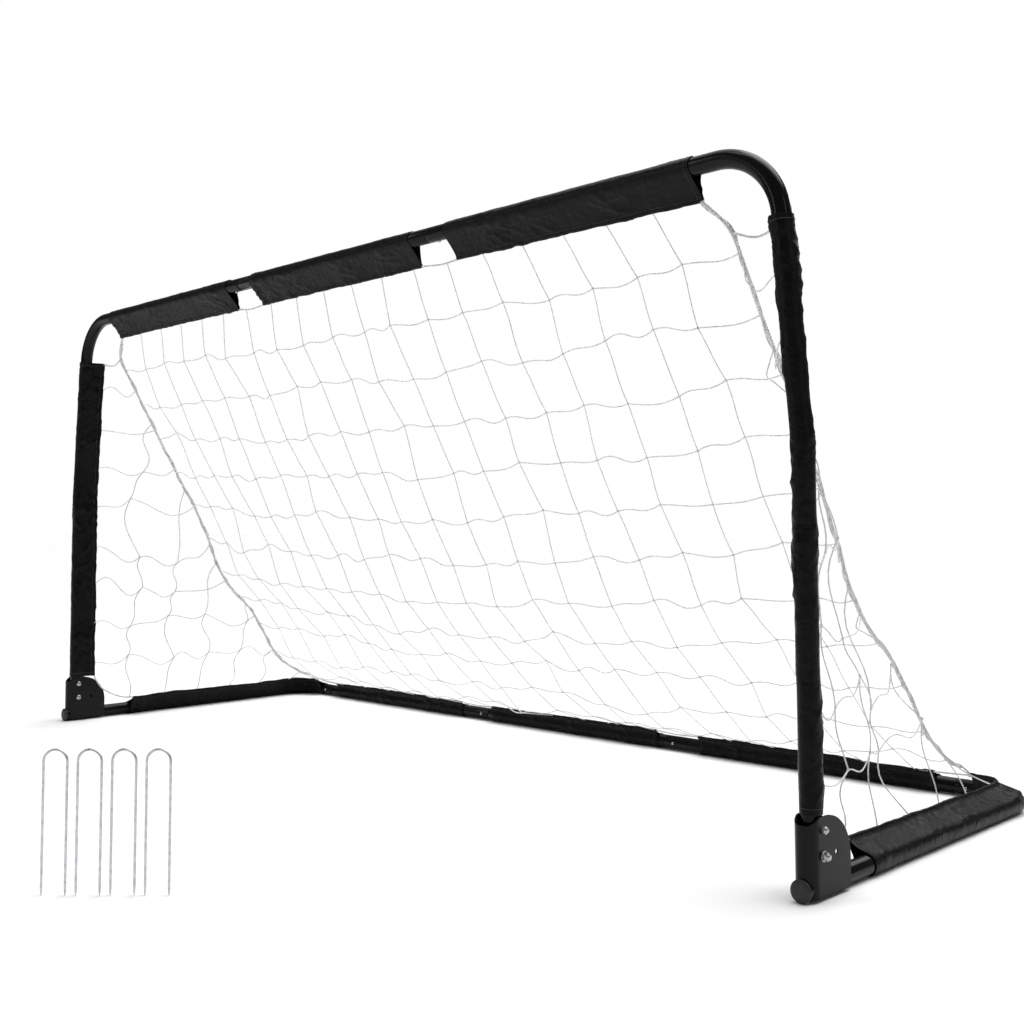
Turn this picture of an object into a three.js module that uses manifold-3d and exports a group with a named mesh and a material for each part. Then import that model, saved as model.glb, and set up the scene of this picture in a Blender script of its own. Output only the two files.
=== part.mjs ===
// Fold-flat garden goal: black steel tube frame in plug-together sections, fabric sleeves
// that hold a knotted net, two fold brackets at the feet of the posts, and four ground pegs.
// Millimetres. +X is the right seen from the front, +Y is the back, +Z is up; the mouth
// faces -Y and the origin is the centre of the footprint, on the ground.
import * as THREE from "three";
import { mergeVertices } from "three/addons/utils/BufferGeometryUtils.js";
import Module from "manifold-3d";

const wasm = await Module();
wasm.setup();

// ---- driving dimensions -------------------------------------------------------------
const TUBE = 14;              // outer radius of the 28 mm steel tube
const WALL = 1.2;             // tube wall
const GAP = 0.3;              // clearance between touching pieces
const CLOTH = 1.2;            // wall of a fabric sleeve
const SIDES = 16;             // facets round a tube
const BEND_STEPS = 7;         // straight pieces in a bend
const SMALL_SIDES = 10;       // facets round a bolt, a hole or the peg wire's bend
const HALF_WIDTH = 1051;      // middle to the axis of a post or a side rail
const HEIGHT = 986;           // rail axis to crossbar axis
const DEPTH = 708;            // post axis to rear rail axis
const POST_LEAN = 4.5;        // degrees that the upper half of a post leans in
const TOP_BEND = 105;         // bend radius of the front frame's corners
const REAR_BEND = 86;         // bend radius of the ground frame's corners
const MID_JOINT = 510;        // rail axis to the joint half way up a post
const TOP_JOINT = 305;        // middle to the joints in the crossbar
const REAR_JOINT = 275;       // middle to the inner joints in the rear rail
const CORNER_JOINT = 920;     // middle to the outer joints in the rear rail
const PLUG_IN = 45;           // length of a swaged end inside its socket
const BUTTON_IN = 22;         // joint line to the axis of its snap button
const FLAP = 45;              // tube axis to the hem of a sleeve's flap
const TOP_HEM = 54;           // the same on the crossbar
const REAR_FLAP = 30;         // the same on the rear rail
const PIVOT = 42;             // rail axis up to the pivot bolt
const LOCK = 33.4;            // pivot bolt to the lock bolt, and to the spare rear hole
const PLATE = 2.2;            // bracket plate
const NOSE = 9;               // post axis forward to the centre of the bracket's round front
const FOOT = 11.5;            // radius of the post's foot, which turns behind that front
const RAIL_NOSE = 26.3;       // post axis forward to the end of the side rail's tube
const EAR = { back: 69, top: 92, low: 10, arc: 60 };   // ears, from the post and rail axes
const LIP = 10;               // the bracket's front wall ends this far below its ears
const PEG_LENGTH = 192;
const PEG_WIDTH = 35.5;
const PEG_WIRE = 1.75;        // radius of the peg wire
const PEG_POINT = 9;          // length of a peg's points
const PEG_TIP = 0.5;          // radius left at the end of a point
const PEG_PITCH = 46;         // peg to peg in the row
const PEG_ROW = [373, -632];  // middle of the peg row, from the middle of the post line
const PEG_TURN = 44;          // degrees that the row is turned about the vertical

// ---- derived places -----------------------------------------------------------------
const RAIL_Z = TUBE + GAP + CLOTH;
const TOP_Z = RAIL_Z + HEIGHT;
const PIVOT_Z = RAIL_Z + PIVOT;
const BORE = TUBE - WALL;
const PLUG = BORE - GAP;
const PLUG_BORE = PLUG - WALL;
const PEG_REACH = 1.5 * PEG_PITCH + PEG_WIDTH / 2;
const ROW_FRONT = PEG_ROW[1] - PEG_REACH * Math.sin(rad(PEG_TURN));
const POST_Y = -(ROW_FRONT + DEPTH + TUBE + GAP + CLOTH) / 2;
const REAR_Y = POST_Y + DEPTH;

const UP = vec(0, 0, 1);
const BACK = vec(0, 1, 0);
const goal = new THREE.Group();

// ---- small helpers ------------------------------------------------------------------
function rad(degrees) {
  return (degrees * Math.PI) / 180;
}

function vec(x, y, z) {
  return new THREE.Vector3(x, y, z);
}

// Closed mesh through a list of rings; "hoop" joins the last ring to the first.
function loft(rings, hoop = false) {
  const count = rings[0].length;
  const position = rings.flat().flatMap((p) => [p.x, p.y, p.z]);
  const index = [];
  const spans = hoop ? rings.length : rings.length - 1;
  for (let i = 0; i < spans; i++) {
    const j = (i + 1) % rings.length;
    for (let k = 0; k < count; k++) {
      const m = (k + 1) % count;
      index.push(i * count + k, i * count + m, j * count + m);
      index.push(i * count + k, j * count + m, j * count + k);
    }
  }
  const end = (rings.length - 1) * count;
  for (let k = 1; !hoop && k < count - 1; k++) {
    index.push(0, k + 1, k, end, end + k, end + k + 1);
  }
  return outward(position, index);
}

// Indexed geometry whose faces point out.
function outward(position, index) {
  const at = (i) => vec(...position.slice(3 * i, 3 * i + 3));
  let volume = 0;
  for (let i = 0; i < index.length; i += 3) {
    volume += at(index[i]).dot(at(index[i + 1]).cross(at(index[i + 2])));
  }
  const geometry = new THREE.BufferGeometry();
  geometry.setAttribute("position", new THREE.Float32BufferAttribute(position, 3));
  geometry.setIndex(volume < 0 ? index.reverse() : index);
  return geometry;
}

// Distance from a tube's axis to its faceted surface in one direction.
function facetRadius(apothem, angle) {
  const step = (2 * Math.PI) / SIDES;
  const turn = angle - step * Math.round(angle / step);
  return apothem / Math.cos(turn);
}

function ring(station, angles, radius) {
  const across = vec(0, 0, 0).crossVectors(station.normal, station.dir).normalize();
  return angles.map((a) =>
    station.at.clone()
      .addScaledVector(across, radius(a) * Math.cos(a))
      .addScaledVector(station.normal, radius(a) * Math.sin(a)));
}

const ROUND = Array.from({ length: SIDES }, (_, k) => ((k + 0.5) * 2 * Math.PI) / SIDES);

// Stations along straight runs joined by arcs; corners are [point, bend radius].
function route(corners, normal, steps = BEND_STEPS) {
  const stations = [];
  const put = (at, dir) => stations.push({ at, dir: dir.clone().normalize(), normal });
  corners.forEach(([point, bend], i) => {
    const before = i > 0 ? point.clone().sub(corners[i - 1][0]).normalize() : null;
    const after = i < corners.length - 1
      ? corners[i + 1][0].clone().sub(point).normalize() : null;
    if (!before || !after) {
      put(point.clone(), before ?? after);
    } else if (!bend) {
      put(point.clone(), before.clone().add(after));
    } else {
      const angle = before.angleTo(after);
      const cutBack = bend * Math.tan(angle / 2);
      const start = point.clone().addScaledVector(before, -cutBack);
      const inward = after.clone().addScaledVector(before, -after.dot(before)).normalize();
      const centre = start.clone().addScaledVector(inward, bend);
      for (let k = 0; k <= steps; k++) {
        const a = (angle * k) / steps;
        const at = centre.clone()
          .addScaledVector(inward, -bend * Math.cos(a))
          .addScaledVector(before, bend * Math.sin(a));
        const dir = before.clone().multiplyScalar(Math.cos(a))
          .addScaledVector(inward, Math.sin(a));
        put(at, dir);
      }
    }
  });
  return stations;
}

// Hollow tube of one size along stations.
function pipe(stations, outer = TUBE, inner = BORE) {
  const skin = stations.map((s) => ring(s, ROUND, () => outer / Math.cos(Math.PI / SIDES)));
  const bore = stations.map((s) => ring(s, ROUND, () => inner / Math.cos(Math.PI / SIDES)));
  return loft([...skin, ...bore.reverse()], true);
}

// Straight tube, whose plug ends are swaged down to fit a socket.
function straightTube(from, to, normal, plugAtStart, plugAtEnd) {
  const length = from.distanceTo(to);
  const dir = to.clone().sub(from).normalize();
  const taper = 3;
  const marks = [];
  if (plugAtStart) {
    marks.push([0, PLUG, PLUG_BORE], [PLUG_IN, PLUG, PLUG_BORE], [PLUG_IN + taper, TUBE, BORE]);
  } else {
    marks.push([0, TUBE, BORE]);
  }
  if (plugAtEnd) {
    marks.push([length - PLUG_IN - taper, TUBE, BORE]);
    marks.push([length - PLUG_IN, PLUG, PLUG_BORE], [length, PLUG, PLUG_BORE]);
  } else {
    marks.push([length, TUBE, BORE]);
  }
  const skin = [];
  const bore = [];
  for (const [along, outer, inner] of marks) {
    const station = { at: from.clone().addScaledVector(dir, along), dir, normal };
    skin.push(ring(station, ROUND, () => outer / Math.cos(Math.PI / SIDES)));
    bore.push(ring(station, ROUND, () => inner / Math.cos(Math.PI / SIDES)));
  }
  return loft([...skin, ...bore.reverse()], true);
}

// Fabric sleeve round a tube, with a two-layer flap that ends in a hem.
function sleeve(stations, flapAngle, hem) {
  const root = rad(FLAP_ROOT);
  const tip = rad(FLAP_TIP);
  const turnTo = (a) => Math.atan2(Math.sin(a - flapAngle), Math.cos(a - flapAngle));
  const plain = ROUND.filter((a) => Math.abs(turnTo(a)) > root + tip);
  const angles = [...plain.map(turnTo), -root, -tip, tip, root]
    .sort((a, b) => a - b).map((a) => a + flapAngle);
  const outer = (a) => (Math.abs(turnTo(a)) < root / 2 ? hem : facetRadius(RAIL_Z, a));
  const inner = (a) => facetRadius(TUBE + GAP, a);
  const skin = stations.map((s) => ring(s, angles, outer));
  const lining = stations.map((s) => ring(s, angles, inner));
  return loft([...skin, ...lining.reverse()], true);
}

function toSolid(source) {
  const plain = source.clone();
  plain.deleteAttribute("normal");
  plain.deleteAttribute("uv");
  const merged = mergeVertices(plain, 1e-4);
  return new wasm.Manifold(new wasm.Mesh({
    numProp: 3,
    vertProperties: new Float32Array(merged.attributes.position.array),
    triVerts: new Uint32Array(merged.index.array),
  }));
}

function toGeometry(solid) {
  const mesh = solid.getMesh();
  const geometry = new THREE.BufferGeometry();
  geometry.setAttribute("position", new THREE.BufferAttribute(mesh.vertProperties, 3));
  geometry.setIndex(new THREE.BufferAttribute(mesh.triVerts, 1));
  return geometry;
}

function cut(body, ...tools) {
  return toGeometry(tools.reduce((s, t) => s.subtract(toSolid(t)), toSolid(body)));
}

function join(...pieces) {
  return toGeometry(pieces.map(toSolid).reduce((a, b) => a.add(b)));
}

function common(a, b) {
  return toGeometry(toSolid(a).intersect(toSolid(b)));
}

// Mirror image in the plane x = 0, with its faces still pointing out.
function mirrored(geometry) {
  const copy = geometry.clone();
  copy.scale(-1, 1, 1);
  const index = Array.from(copy.index.array);
  copy.setIndex(index.reverse());
  return copy;
}

// Solid turned about the X axis through (y, z), from [half length, radius] pairs along X.
function turnedOnX(profile, x, y, z, facets) {
  const shape = profile.map(([along, radius]) => new THREE.Vector2(radius, along));
  const geometry = new THREE.LatheGeometry(shape, facets);
  geometry.rotateZ(-Math.PI / 2);
  geometry.translate(x, y, z);
  return mergeVertices(strip(geometry));
}

function strip(geometry) {
  geometry.deleteAttribute("normal");
  geometry.deleteAttribute("uv");
  return geometry;
}

// Prism along X from an outline in (y, z), centred on x.
function prismOnX(shape, width, x) {
  const geometry = new THREE.ExtrudeGeometry(shape, {
    depth: width, bevelEnabled: false, curveSegments: 7,
  });
  geometry.rotateX(Math.PI / 2);
  geometry.rotateZ(Math.PI / 2);
  geometry.translate(x - width / 2, 0, 0);
  return mergeVertices(strip(geometry));
}

function finish(color, roughness, metalness) {
  return new THREE.MeshStandardMaterial({ color, roughness, metalness });
}

const paint = () => finish(0x0b0b0c, 0.28, 0.2);
const zinc = () => finish(0xb9bcc0, 0.35, 0.9);
const cloth = () => finish(0x121214, 0.6, 0.0);
const twine = () => finish(0xf2f2f0, 0.8, 0.0);
const plastic = () => finish(0x0d0d0e, 0.5, 0.0);

function add(name, geometry, material) {
  const mesh = new THREE.Mesh(geometry, material);
  mesh.name = name;
  goal.add(mesh);
  return mesh;
}

// The same piece on the right and, mirrored, on the left.
function addPair(name, geometry, material) {
  add(`${name}_right`, geometry, material());
  add(`${name}_left`, mirrored(geometry), material());
}

// Cylinder that drills a hole, from a point on a tube's axis outward.
function drill(at, dir, radius) {
  const geometry = new THREE.CylinderGeometry(radius, radius, TUBE, SMALL_SIDES);
  geometry.applyQuaternion(new THREE.Quaternion().setFromUnitVectors(BACK, dir));
  const middle = at.clone().addScaledVector(dir, TUBE);
  geometry.translate(middle.x, middle.y, middle.z);
  return geometry;
}

// Cylinder across the tubes at HALF_WIDTH, for a bolt to pass through.
function crossHole(y, z, radius) {
  const reach = 2 * TUBE;
  const profile = [[-reach, 0], [-reach, radius], [reach, radius], [reach, 0]];
  return turnedOnX(profile, HALF_WIDTH, y, z, SMALL_SIDES);
}

// ---- front frame --------------------------------------------------------------------
const KINK = 50;              // joint half way up a post to its kink
const KINK_Z = RAIL_Z + MID_JOINT + KINK;
const CORNER_X = HALF_WIDTH - (TOP_Z - KINK_Z) * Math.tan(rad(POST_LEAN));
const TOP_BUTTON = vec(TOP_JOINT + BUTTON_IN, POST_Y, TOP_Z);
const HOLE = 3.4;             // radius round a snap button or the lock bolt
const PIVOT_HOLE = 4.4;
const SHOULDER = 10;          // pivot up to where the foot takes the tube's full width
const SLOT = { half: 3.6, end: 132 };   // half width, and degrees from straight back


function upperPostAxis(z) {
  const lean = Math.max(0, z - KINK_Z) * Math.tan(rad(POST_LEAN));
  return vec(HALF_WIDTH - lean, POST_Y, z);
}

// Foot of the post: rounded about the pivot, with bolt hole and a slot open to the front
// that lets the post swing back off the lock bolt.
function postFoot(tube) {
  const foot = new THREE.Shape();
  foot.moveTo(POST_Y + 2 * TUBE, TOP_Z);
  foot.lineTo(POST_Y - 2 * TUBE, TOP_Z);
  foot.lineTo(POST_Y - 2 * TUBE, PIVOT_Z + SHOULDER);
  foot.lineTo(POST_Y - FOOT, PIVOT_Z);
  foot.absarc(POST_Y, PIVOT_Z, FOOT, Math.PI, 2 * Math.PI, false);
  foot.lineTo(POST_Y + 2 * TUBE, PIVOT_Z + SHOULDER);
  const slot = new THREE.Shape();
  const end = rad(SLOT.end);
  slot.absarc(POST_Y, PIVOT_Z, LOCK + SLOT.half, Math.PI / 2, end, false);
  slot.absarc(POST_Y, PIVOT_Z, LOCK - SLOT.half, end, Math.PI / 2, true);
  slot.absarc(POST_Y, PIVOT_Z + LOCK, SLOT.half, -Math.PI / 2, Math.PI / 2, false);
  const kept = common(tube, prismOnX(foot, 4 * TUBE, HALF_WIDTH));
  const hole = crossHole(POST_Y, PIVOT_Z, PIVOT_HOLE);
  return cut(kept, prismOnX(slot, 4 * TUBE, HALF_WIDTH), hole);
}

function buildFrontFrame() {
  const jointZ = RAIL_Z + MID_JOINT;
  const post = straightTube(
    vec(HALF_WIDTH, POST_Y, PIVOT_Z - TUBE),
    vec(HALF_WIDTH, POST_Y, jointZ - GAP + PLUG_IN), BACK, false, true);
  addPair("lower_post", postFoot(post), paint);

  const corner = pipe(route([
    [vec(HALF_WIDTH, POST_Y, jointZ), 0],
    [vec(HALF_WIDTH, POST_Y, KINK_Z), 0],
    [vec(CORNER_X, POST_Y, TOP_Z), TOP_BEND],
    [vec(TOP_JOINT, POST_Y, TOP_Z), 0],
  ], BACK));
  const down = vec(0, 0, -1);
  addPair("corner_tube", cut(corner, drill(TOP_BUTTON, down, HOLE)), paint);

  const reach = TOP_JOINT - GAP + PLUG_IN;
  const bar = straightTube(vec(-reach, POST_Y, TOP_Z), vec(reach, POST_Y, TOP_Z), BACK, true, true);
  const otherButton = TOP_BUTTON.clone().setX(-TOP_BUTTON.x);
  const drilled = cut(bar, drill(TOP_BUTTON, down, HOLE), drill(otherButton, down, HOLE));
  add("crossbar_center", drilled, paint());
}

// ---- ground frame -------------------------------------------------------------------
const REAR_BUTTON = vec(REAR_JOINT + BUTTON_IN, REAR_Y, RAIL_Z);
const CORNER_BUTTON = vec(CORNER_JOINT + BUTTON_IN, REAR_Y, RAIL_Z);
const FRONT = vec(0, -1, 0);

function groundRoute(fromY, toX) {
  return route([
    [vec(HALF_WIDTH, fromY, RAIL_Z), 0],
    [vec(HALF_WIDTH, REAR_Y, RAIL_Z), REAR_BEND],
    [vec(toX, REAR_Y, RAIL_Z), 0],
  ], UP);
}

function buildGroundFrame() {
  const side = pipe(groundRoute(POST_Y - RAIL_NOSE, CORNER_JOINT));
  addPair("side_tube", cut(side, drill(CORNER_BUTTON, FRONT, HOLE)), paint);

  const outer = straightTube(
    vec(CORNER_JOINT - GAP + PLUG_IN, REAR_Y, RAIL_Z),
    vec(REAR_JOINT, REAR_Y, RAIL_Z), UP, true, false);
  const drilled = cut(outer, drill(CORNER_BUTTON, FRONT, HOLE), drill(REAR_BUTTON, FRONT, HOLE));
  addPair("rear_tube", drilled, paint);

  const reach = REAR_JOINT - GAP + PLUG_IN;
  const middle = straightTube(
    vec(-reach, REAR_Y, RAIL_Z), vec(reach, REAR_Y, RAIL_Z), UP, true, true);
  const other = REAR_BUTTON.clone().setX(-REAR_BUTTON.x);
  const holes = [drill(REAR_BUTTON, FRONT, HOLE), drill(other, FRONT, HOLE)];
  add("rear_tube_center", cut(middle, ...holes), paint());
}

// Plastic end cap: a rim over the end of the side rail and a stem inside it.
const CAP = { face: 5, rim: 3, edge: 0.8, flat: 11.5, stem: 14 };

function buildRailCap() {
  const face = POST_Y - RAIL_NOSE - GAP;
  const marks = [[-CAP.face, CAP.flat], [-CAP.face + CAP.edge, RAIL_Z - CAP.edge],
    [-CAP.rim, RAIL_Z], [0, RAIL_Z], [0, BORE - GAP], [CAP.stem, BORE - GAP]];
  const rings = marks.map(([along, radius]) => {
    const station = { at: vec(HALF_WIDTH, face + along, RAIL_Z), dir: BACK, normal: UP };
    return ring(station, ROUND, () => radius / Math.cos(Math.PI / SIDES));
  });
  addPair("rail_cap", loft(rings), plastic);
}

// ---- fold brackets ------------------------------------------------------------------
const EAR_IN = TUBE + 0.5;
const EAR_OUT = EAR_IN + PLATE;

// Channel round the foot of the post, rounded at the front, with quarter-round ears.
function bracketBody() {
  const front = POST_Y - NOSE - EAR_OUT - 1;
  const back = POST_Y + EAR.back;
  const ear = new THREE.Shape();
  ear.moveTo(front, RAIL_Z - EAR.low);
  ear.lineTo(back, RAIL_Z - EAR.low);
  ear.absarc(back - EAR.arc, RAIL_Z + EAR.top - EAR.arc, EAR.arc, 0, Math.PI / 2, false);
  ear.lineTo(POST_Y - NOSE, RAIL_Z + EAR.top);
  ear.lineTo(front, RAIL_Z + EAR.top - LIP);
  const plan = new THREE.Shape();
  const end = EAR.back + 1;
  plan.moveTo(EAR_OUT, end);
  plan.absarc(0, -NOSE, EAR_OUT, 0, -Math.PI, true);
  plan.lineTo(-EAR_OUT, end);
  plan.lineTo(-EAR_IN, end);
  plan.absarc(0, -NOSE, EAR_IN, Math.PI, 2 * Math.PI, false);
  plan.lineTo(EAR_IN, end);
  const channel = new THREE.ExtrudeGeometry(plan, {
    depth: EAR.top + 2 * EAR.low + 1, bevelEnabled: false, curveSegments: 10,
  });
  channel.translate(HALF_WIDTH, POST_Y, RAIL_Z - 2 * EAR.low);
  return common(channel, prismOnX(ear, 4 * TUBE, HALF_WIDTH));
}

function buildBracket() {
  const rail = [POST_Y - 2 * RAIL_NOSE, POST_Y + 2 * EAR.back].map((y) => {
    const station = { at: vec(HALF_WIDTH, y, RAIL_Z), dir: BACK, normal: UP };
    return ring(station, ROUND, () => (TUBE + GAP) / Math.cos(Math.PI / SIDES));
  });
  const holes = [
    crossHole(POST_Y, PIVOT_Z, PIVOT_HOLE),
    crossHole(POST_Y, PIVOT_Z + LOCK, HOLE),
    crossHole(POST_Y + LOCK, PIVOT_Z, HOLE),
  ];
  addPair("fold_bracket", cut(bracketBody(), loft(rail), ...holes), paint);
}

const PIVOT_BOLT = { head: 6.3, dome: 3.8, shank: 3.9, tip: 0.6 };
const LOCK_BOLT = { head: 6, dome: 3.4, shank: 2.9, tip: 0.5 };
const WASHER = { radius: 7.2, bore: 4.3, thick: 1.6 };
const PIVOT_NUT = { radius: 6.3, bore: 4.2, flats: 4.6, height: 6.6 };
const LOCK_NUT = { radius: 5.8, bore: 3.2, flats: 4.2, height: 6 };
const SPACER = { radius: 6.5, bore: 4.3, inset: 1.6 };
const THREAD_OUT = 1.0;       // bolt's end beyond its nut

// Domed bolt whose head sits on the inner ear; "end" is where its shank ends.
function domedBolt(size, end, z) {
  const seat = -(EAR_OUT + GAP);
  return turnedOnX([
    [seat - size.dome, 0], [seat - 0.95 * size.dome, 0.4 * size.head],
    [seat - 0.65 * size.dome, 0.8 * size.head], [seat - 0.17 * size.dome, size.head],
    [seat, size.head], [seat, size.shank], [end, size.shank],
    [end + size.tip, size.shank - size.tip], [end + size.tip, 0],
  ], HALF_WIDTH, POST_Y, z, SMALL_SIDES);
}

// Bolts run across the bracket, head on the inside, washer and lock nut on the outside.
function buildFasteners() {
  const seat = EAR_OUT + GAP;
  const nutSeat = seat + WASHER.thick + GAP;
  const pivotEnd = nutSeat + PIVOT_NUT.height + THREAD_OUT;
  addPair("pivot_bolt", domedBolt(PIVOT_BOLT, pivotEnd, PIVOT_Z), zinc);
  const lockEnd = seat + LOCK_NUT.height + THREAD_OUT;
  addPair("lock_bolt", domedBolt(LOCK_BOLT, lockEnd, PIVOT_Z + LOCK), zinc);

  addPair("pivot_washer", hollow(WASHER, [0, WASHER.thick], HALF_WIDTH + seat), zinc);
  addPair("pivot_nut", lockNut(PIVOT_NUT, HALF_WIDTH + nutSeat, PIVOT_Z), zinc);
  addPair("lock_nut", lockNut(LOCK_NUT, HALF_WIDTH + seat, PIVOT_Z + LOCK), zinc);

  const half = BORE - SPACER.inset;
  addPair("pivot_spacer", hollow(SPACER, [-half, half], HALF_WIDTH), zinc);
}

// Round piece with a bore on the pivot's line, from its near to its far face.
function hollow(size, [near, far], x) {
  const profile = [[near, size.radius], [far, size.radius], [far, size.bore], [near, size.bore],
    [near, size.radius]];
  return turnedOnX(profile, x, POST_Y, PIVOT_Z, SIDES);
}

// Hexagon with a round collar that holds the locking ring.
function lockNut({ radius, bore, flats, height }, x, z) {
  const collarRadius = 0.82 * radius;
  const rimRadius = 0.7 * radius;
  const overlap = 1;
  const hexagon = turnedOnX(
    [[0, radius], [flats, radius], [flats, bore], [0, bore], [0, radius]], x, POST_Y, z, 6);
  const collar = turnedOnX([
    [flats - overlap, collarRadius], [height - overlap, collarRadius], [height, rimRadius],
    [height, bore], [flats - overlap, bore], [flats - overlap, collarRadius],
  ], x, POST_Y, z, 12);
  const hole = turnedOnX(
    [[-overlap, 0], [-overlap, bore], [height + overlap, bore], [height + overlap, 0]],
    x, POST_Y, z, 12);
  return cut(join(hexagon, collar), hole);
}

// ---- snap buttons -------------------------------------------------------------------
// Local frame: the tube's axis is X, outward is Z, and the spring runs toward +X.
const LEG = { half: 3.2, low: 8.1, high: 8.9, start: -4, end: 26 };
const STUD = { radius: 3, crown: TUBE + 3, round: 1.6 };
const SPRING = { thick: 0.8, far: -10.2, lead: 1, open: 0.1 };   // "open" in radians

function box(x0, x1, y0, y1, z0, z1) {
  const geometry = new THREE.BoxGeometry(x1 - x0, y1 - y0, z1 - z0);
  geometry.translate((x0 + x1) / 2, (y0 + y1) / 2, (z0 + z1) / 2);
  return geometry;
}

function buttonGeometry() {
  const { radius, crown, round } = STUD;
  const root = (LEG.low + LEG.high) / 2;
  const points = [[0, root], [radius, root], [radius, crown - round],
    [0.75 * radius, crown - 0.3 * round], [0, crown]];
  const stud = new THREE.LatheGeometry(
    points.map(([r, z]) => new THREE.Vector2(r, z)), SMALL_SIDES);
  stud.rotateX(Math.PI / 2);
  return join(box(LEG.start, LEG.end, -LEG.half, LEG.half, LEG.low, LEG.high), stud);
}

// Fixed half of the spring clip: a leaf on the far wall and the loop back to the button's leaf.
function springGeometry() {
  const { thick, far, lead, open } = SPRING;
  const loop = (LEG.high + LEG.low) / 4 - far / 2;
  const bend = LEG.end + lead + thick;
  const end = Math.PI / 2 - open;
  const outline = new THREE.Shape();
  outline.moveTo(LEG.start, far);
  outline.absarc(bend, far + loop, loop, -Math.PI / 2, end, false);
  outline.absarc(bend, far + loop, loop - thick, end, -Math.PI / 2, true);
  outline.lineTo(LEG.start, far + thick);
  const geometry = new THREE.ExtrudeGeometry(outline, {
    depth: 2 * LEG.half, bevelEnabled: false, curveSegments: 8,
  });
  geometry.rotateX(Math.PI / 2);
  geometry.translate(0, LEG.half, 0);
  return mergeVertices(strip(geometry));
}

// Puts a button and its spring at a joint: outward dir, spring toward the plug tube's body.
function addButton(name, at, out, along) {
  const turn = new THREE.Matrix4().makeBasis(along, out.clone().cross(along), out);
  const pieces = { snap_button: buttonGeometry(), button_spring: springGeometry() };
  for (const [kind, geometry] of Object.entries(pieces)) {
    const mesh = add(`${kind}_${name}`, geometry, zinc());
    mesh.quaternion.setFromRotationMatrix(turn);
    mesh.position.copy(at);
  }
}

function buildButtons() {
  for (const [side, sign] of [["right", 1], ["left", -1]]) {
    const mirror = (p) => p.clone().setX(sign * p.x);
    const inward = vec(-sign, 0, 0);
    addButton(`crossbar_${side}`, mirror(TOP_BUTTON), vec(0, 0, -1), inward);
    addButton(`rear_${side}`, mirror(REAR_BUTTON), FRONT, inward);
    addButton(`corner_${side}`, mirror(CORNER_BUTTON), FRONT, inward);
  }
}

// ---- fabric sleeves -----------------------------------------------------------------
const POST_SLEEVE = [RAIL_Z + EAR.top + 1.5, RAIL_Z + 886];
const TOP_SLEEVES = [[351, 880], [-257, 257]];
const REAR_SLEEVES = [[365, 885], [-255, 255]];
const SIDE_SLEEVE = { start: 140, end: 958 };
const POST_FLAP = 38;         // degrees that a post's flap turns in from straight back
const TOP_FLAP = 25;          // degrees that the crossbar's flap swings back from straight down
const REAR_LEAN = 36;         // degrees that the rear flap leans forward from straight up
const SIDE_LEAN = 45;         // degrees that a side rail's flap leans in from straight up
const FLAP_ROOT = 13;         // degrees each side of a flap at its root
const FLAP_TIP = 2;           // degrees each side of its hem

function between(x0, x1, y, z, normal) {
  return route([[vec(x1, y, z), 0], [vec(x0, y, z), 0]], normal);
}

function buildSleeves() {
  const stations = route([
    [upperPostAxis(POST_SLEEVE[0]), 0],
    [upperPostAxis(KINK_Z), 0],
    [upperPostAxis(POST_SLEEVE[1]), 0],
  ], BACK);
  // Here the section's first axis points out along +X and its second points back.
  addPair("post_sleeve", sleeve(stations, rad(90 + POST_FLAP), FLAP), cloth);

  // On a bar that runs toward -X the first axis points up.
  const topAngle = Math.PI - rad(TOP_FLAP);
  const rearAngle = rad(90 - REAR_LEAN);
  const [topOuter, topMiddle] = TOP_SLEEVES.map(([a, b]) =>
    sleeve(between(a, b, POST_Y, TOP_Z, BACK), topAngle, TOP_HEM));
  addPair("crossbar_sleeve", topOuter, cloth);
  add("crossbar_sleeve_center", topMiddle, cloth());

  const [rearOuter, rearMiddle] = REAR_SLEEVES.map(([a, b]) =>
    sleeve(between(a, b, REAR_Y, RAIL_Z, UP), rearAngle, REAR_FLAP));
  addPair("rear_sleeve", rearOuter, cloth);
  add("rear_sleeve_center", rearMiddle, cloth());

  const side = groundRoute(POST_Y + SIDE_SLEEVE.start, SIDE_SLEEVE.end);
  addPair("side_sleeve", sleeve(side, rad(90 - SIDE_LEAN), FLAP), cloth);
}

// ---- net ----------------------------------------------------------------------------
const NET_BAR = 6;
const NET_THICK = 4;
const NET_CELL = 190;
const ROPE = 2.5;
const SEAM_ROPE = 3;
// Flat net panels: half widths, distances behind the post axis, heights above the rail axis.
const NET_TOP = { half: 872, back: 29, up: HEIGHT - 60 };
const NET_FOOT = { half: 975, back: DEPTH - 27, up: 37 };
const SIDE_NET = { inside: 45, front: 42, back: 615, low: 45, high: 847 };
const ROPE_TOP = 882;         // middle to the ends of the rope in the crossbar's hems
const ROPE_REAR = 940;
// The gathered seam hangs in a curve: [from the middle, behind the post, above the rail].
const SEAM = [[889, 25, 933], [914, 36, 897], [922, 101, 781], [928, 182, 645], [926, 283, 470],
  [932, 350, 332], [942, 448, 235], [954, 542, 105], [955, 640, 44]];

function prism(points, thick) {
  const shape = new THREE.Shape(points.map(([x, y]) => new THREE.Vector2(x, y)));
  const geometry = new THREE.ExtrudeGeometry(shape, { depth: thick, bevelEnabled: false });
  return mergeVertices(strip(geometry));
}

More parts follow.
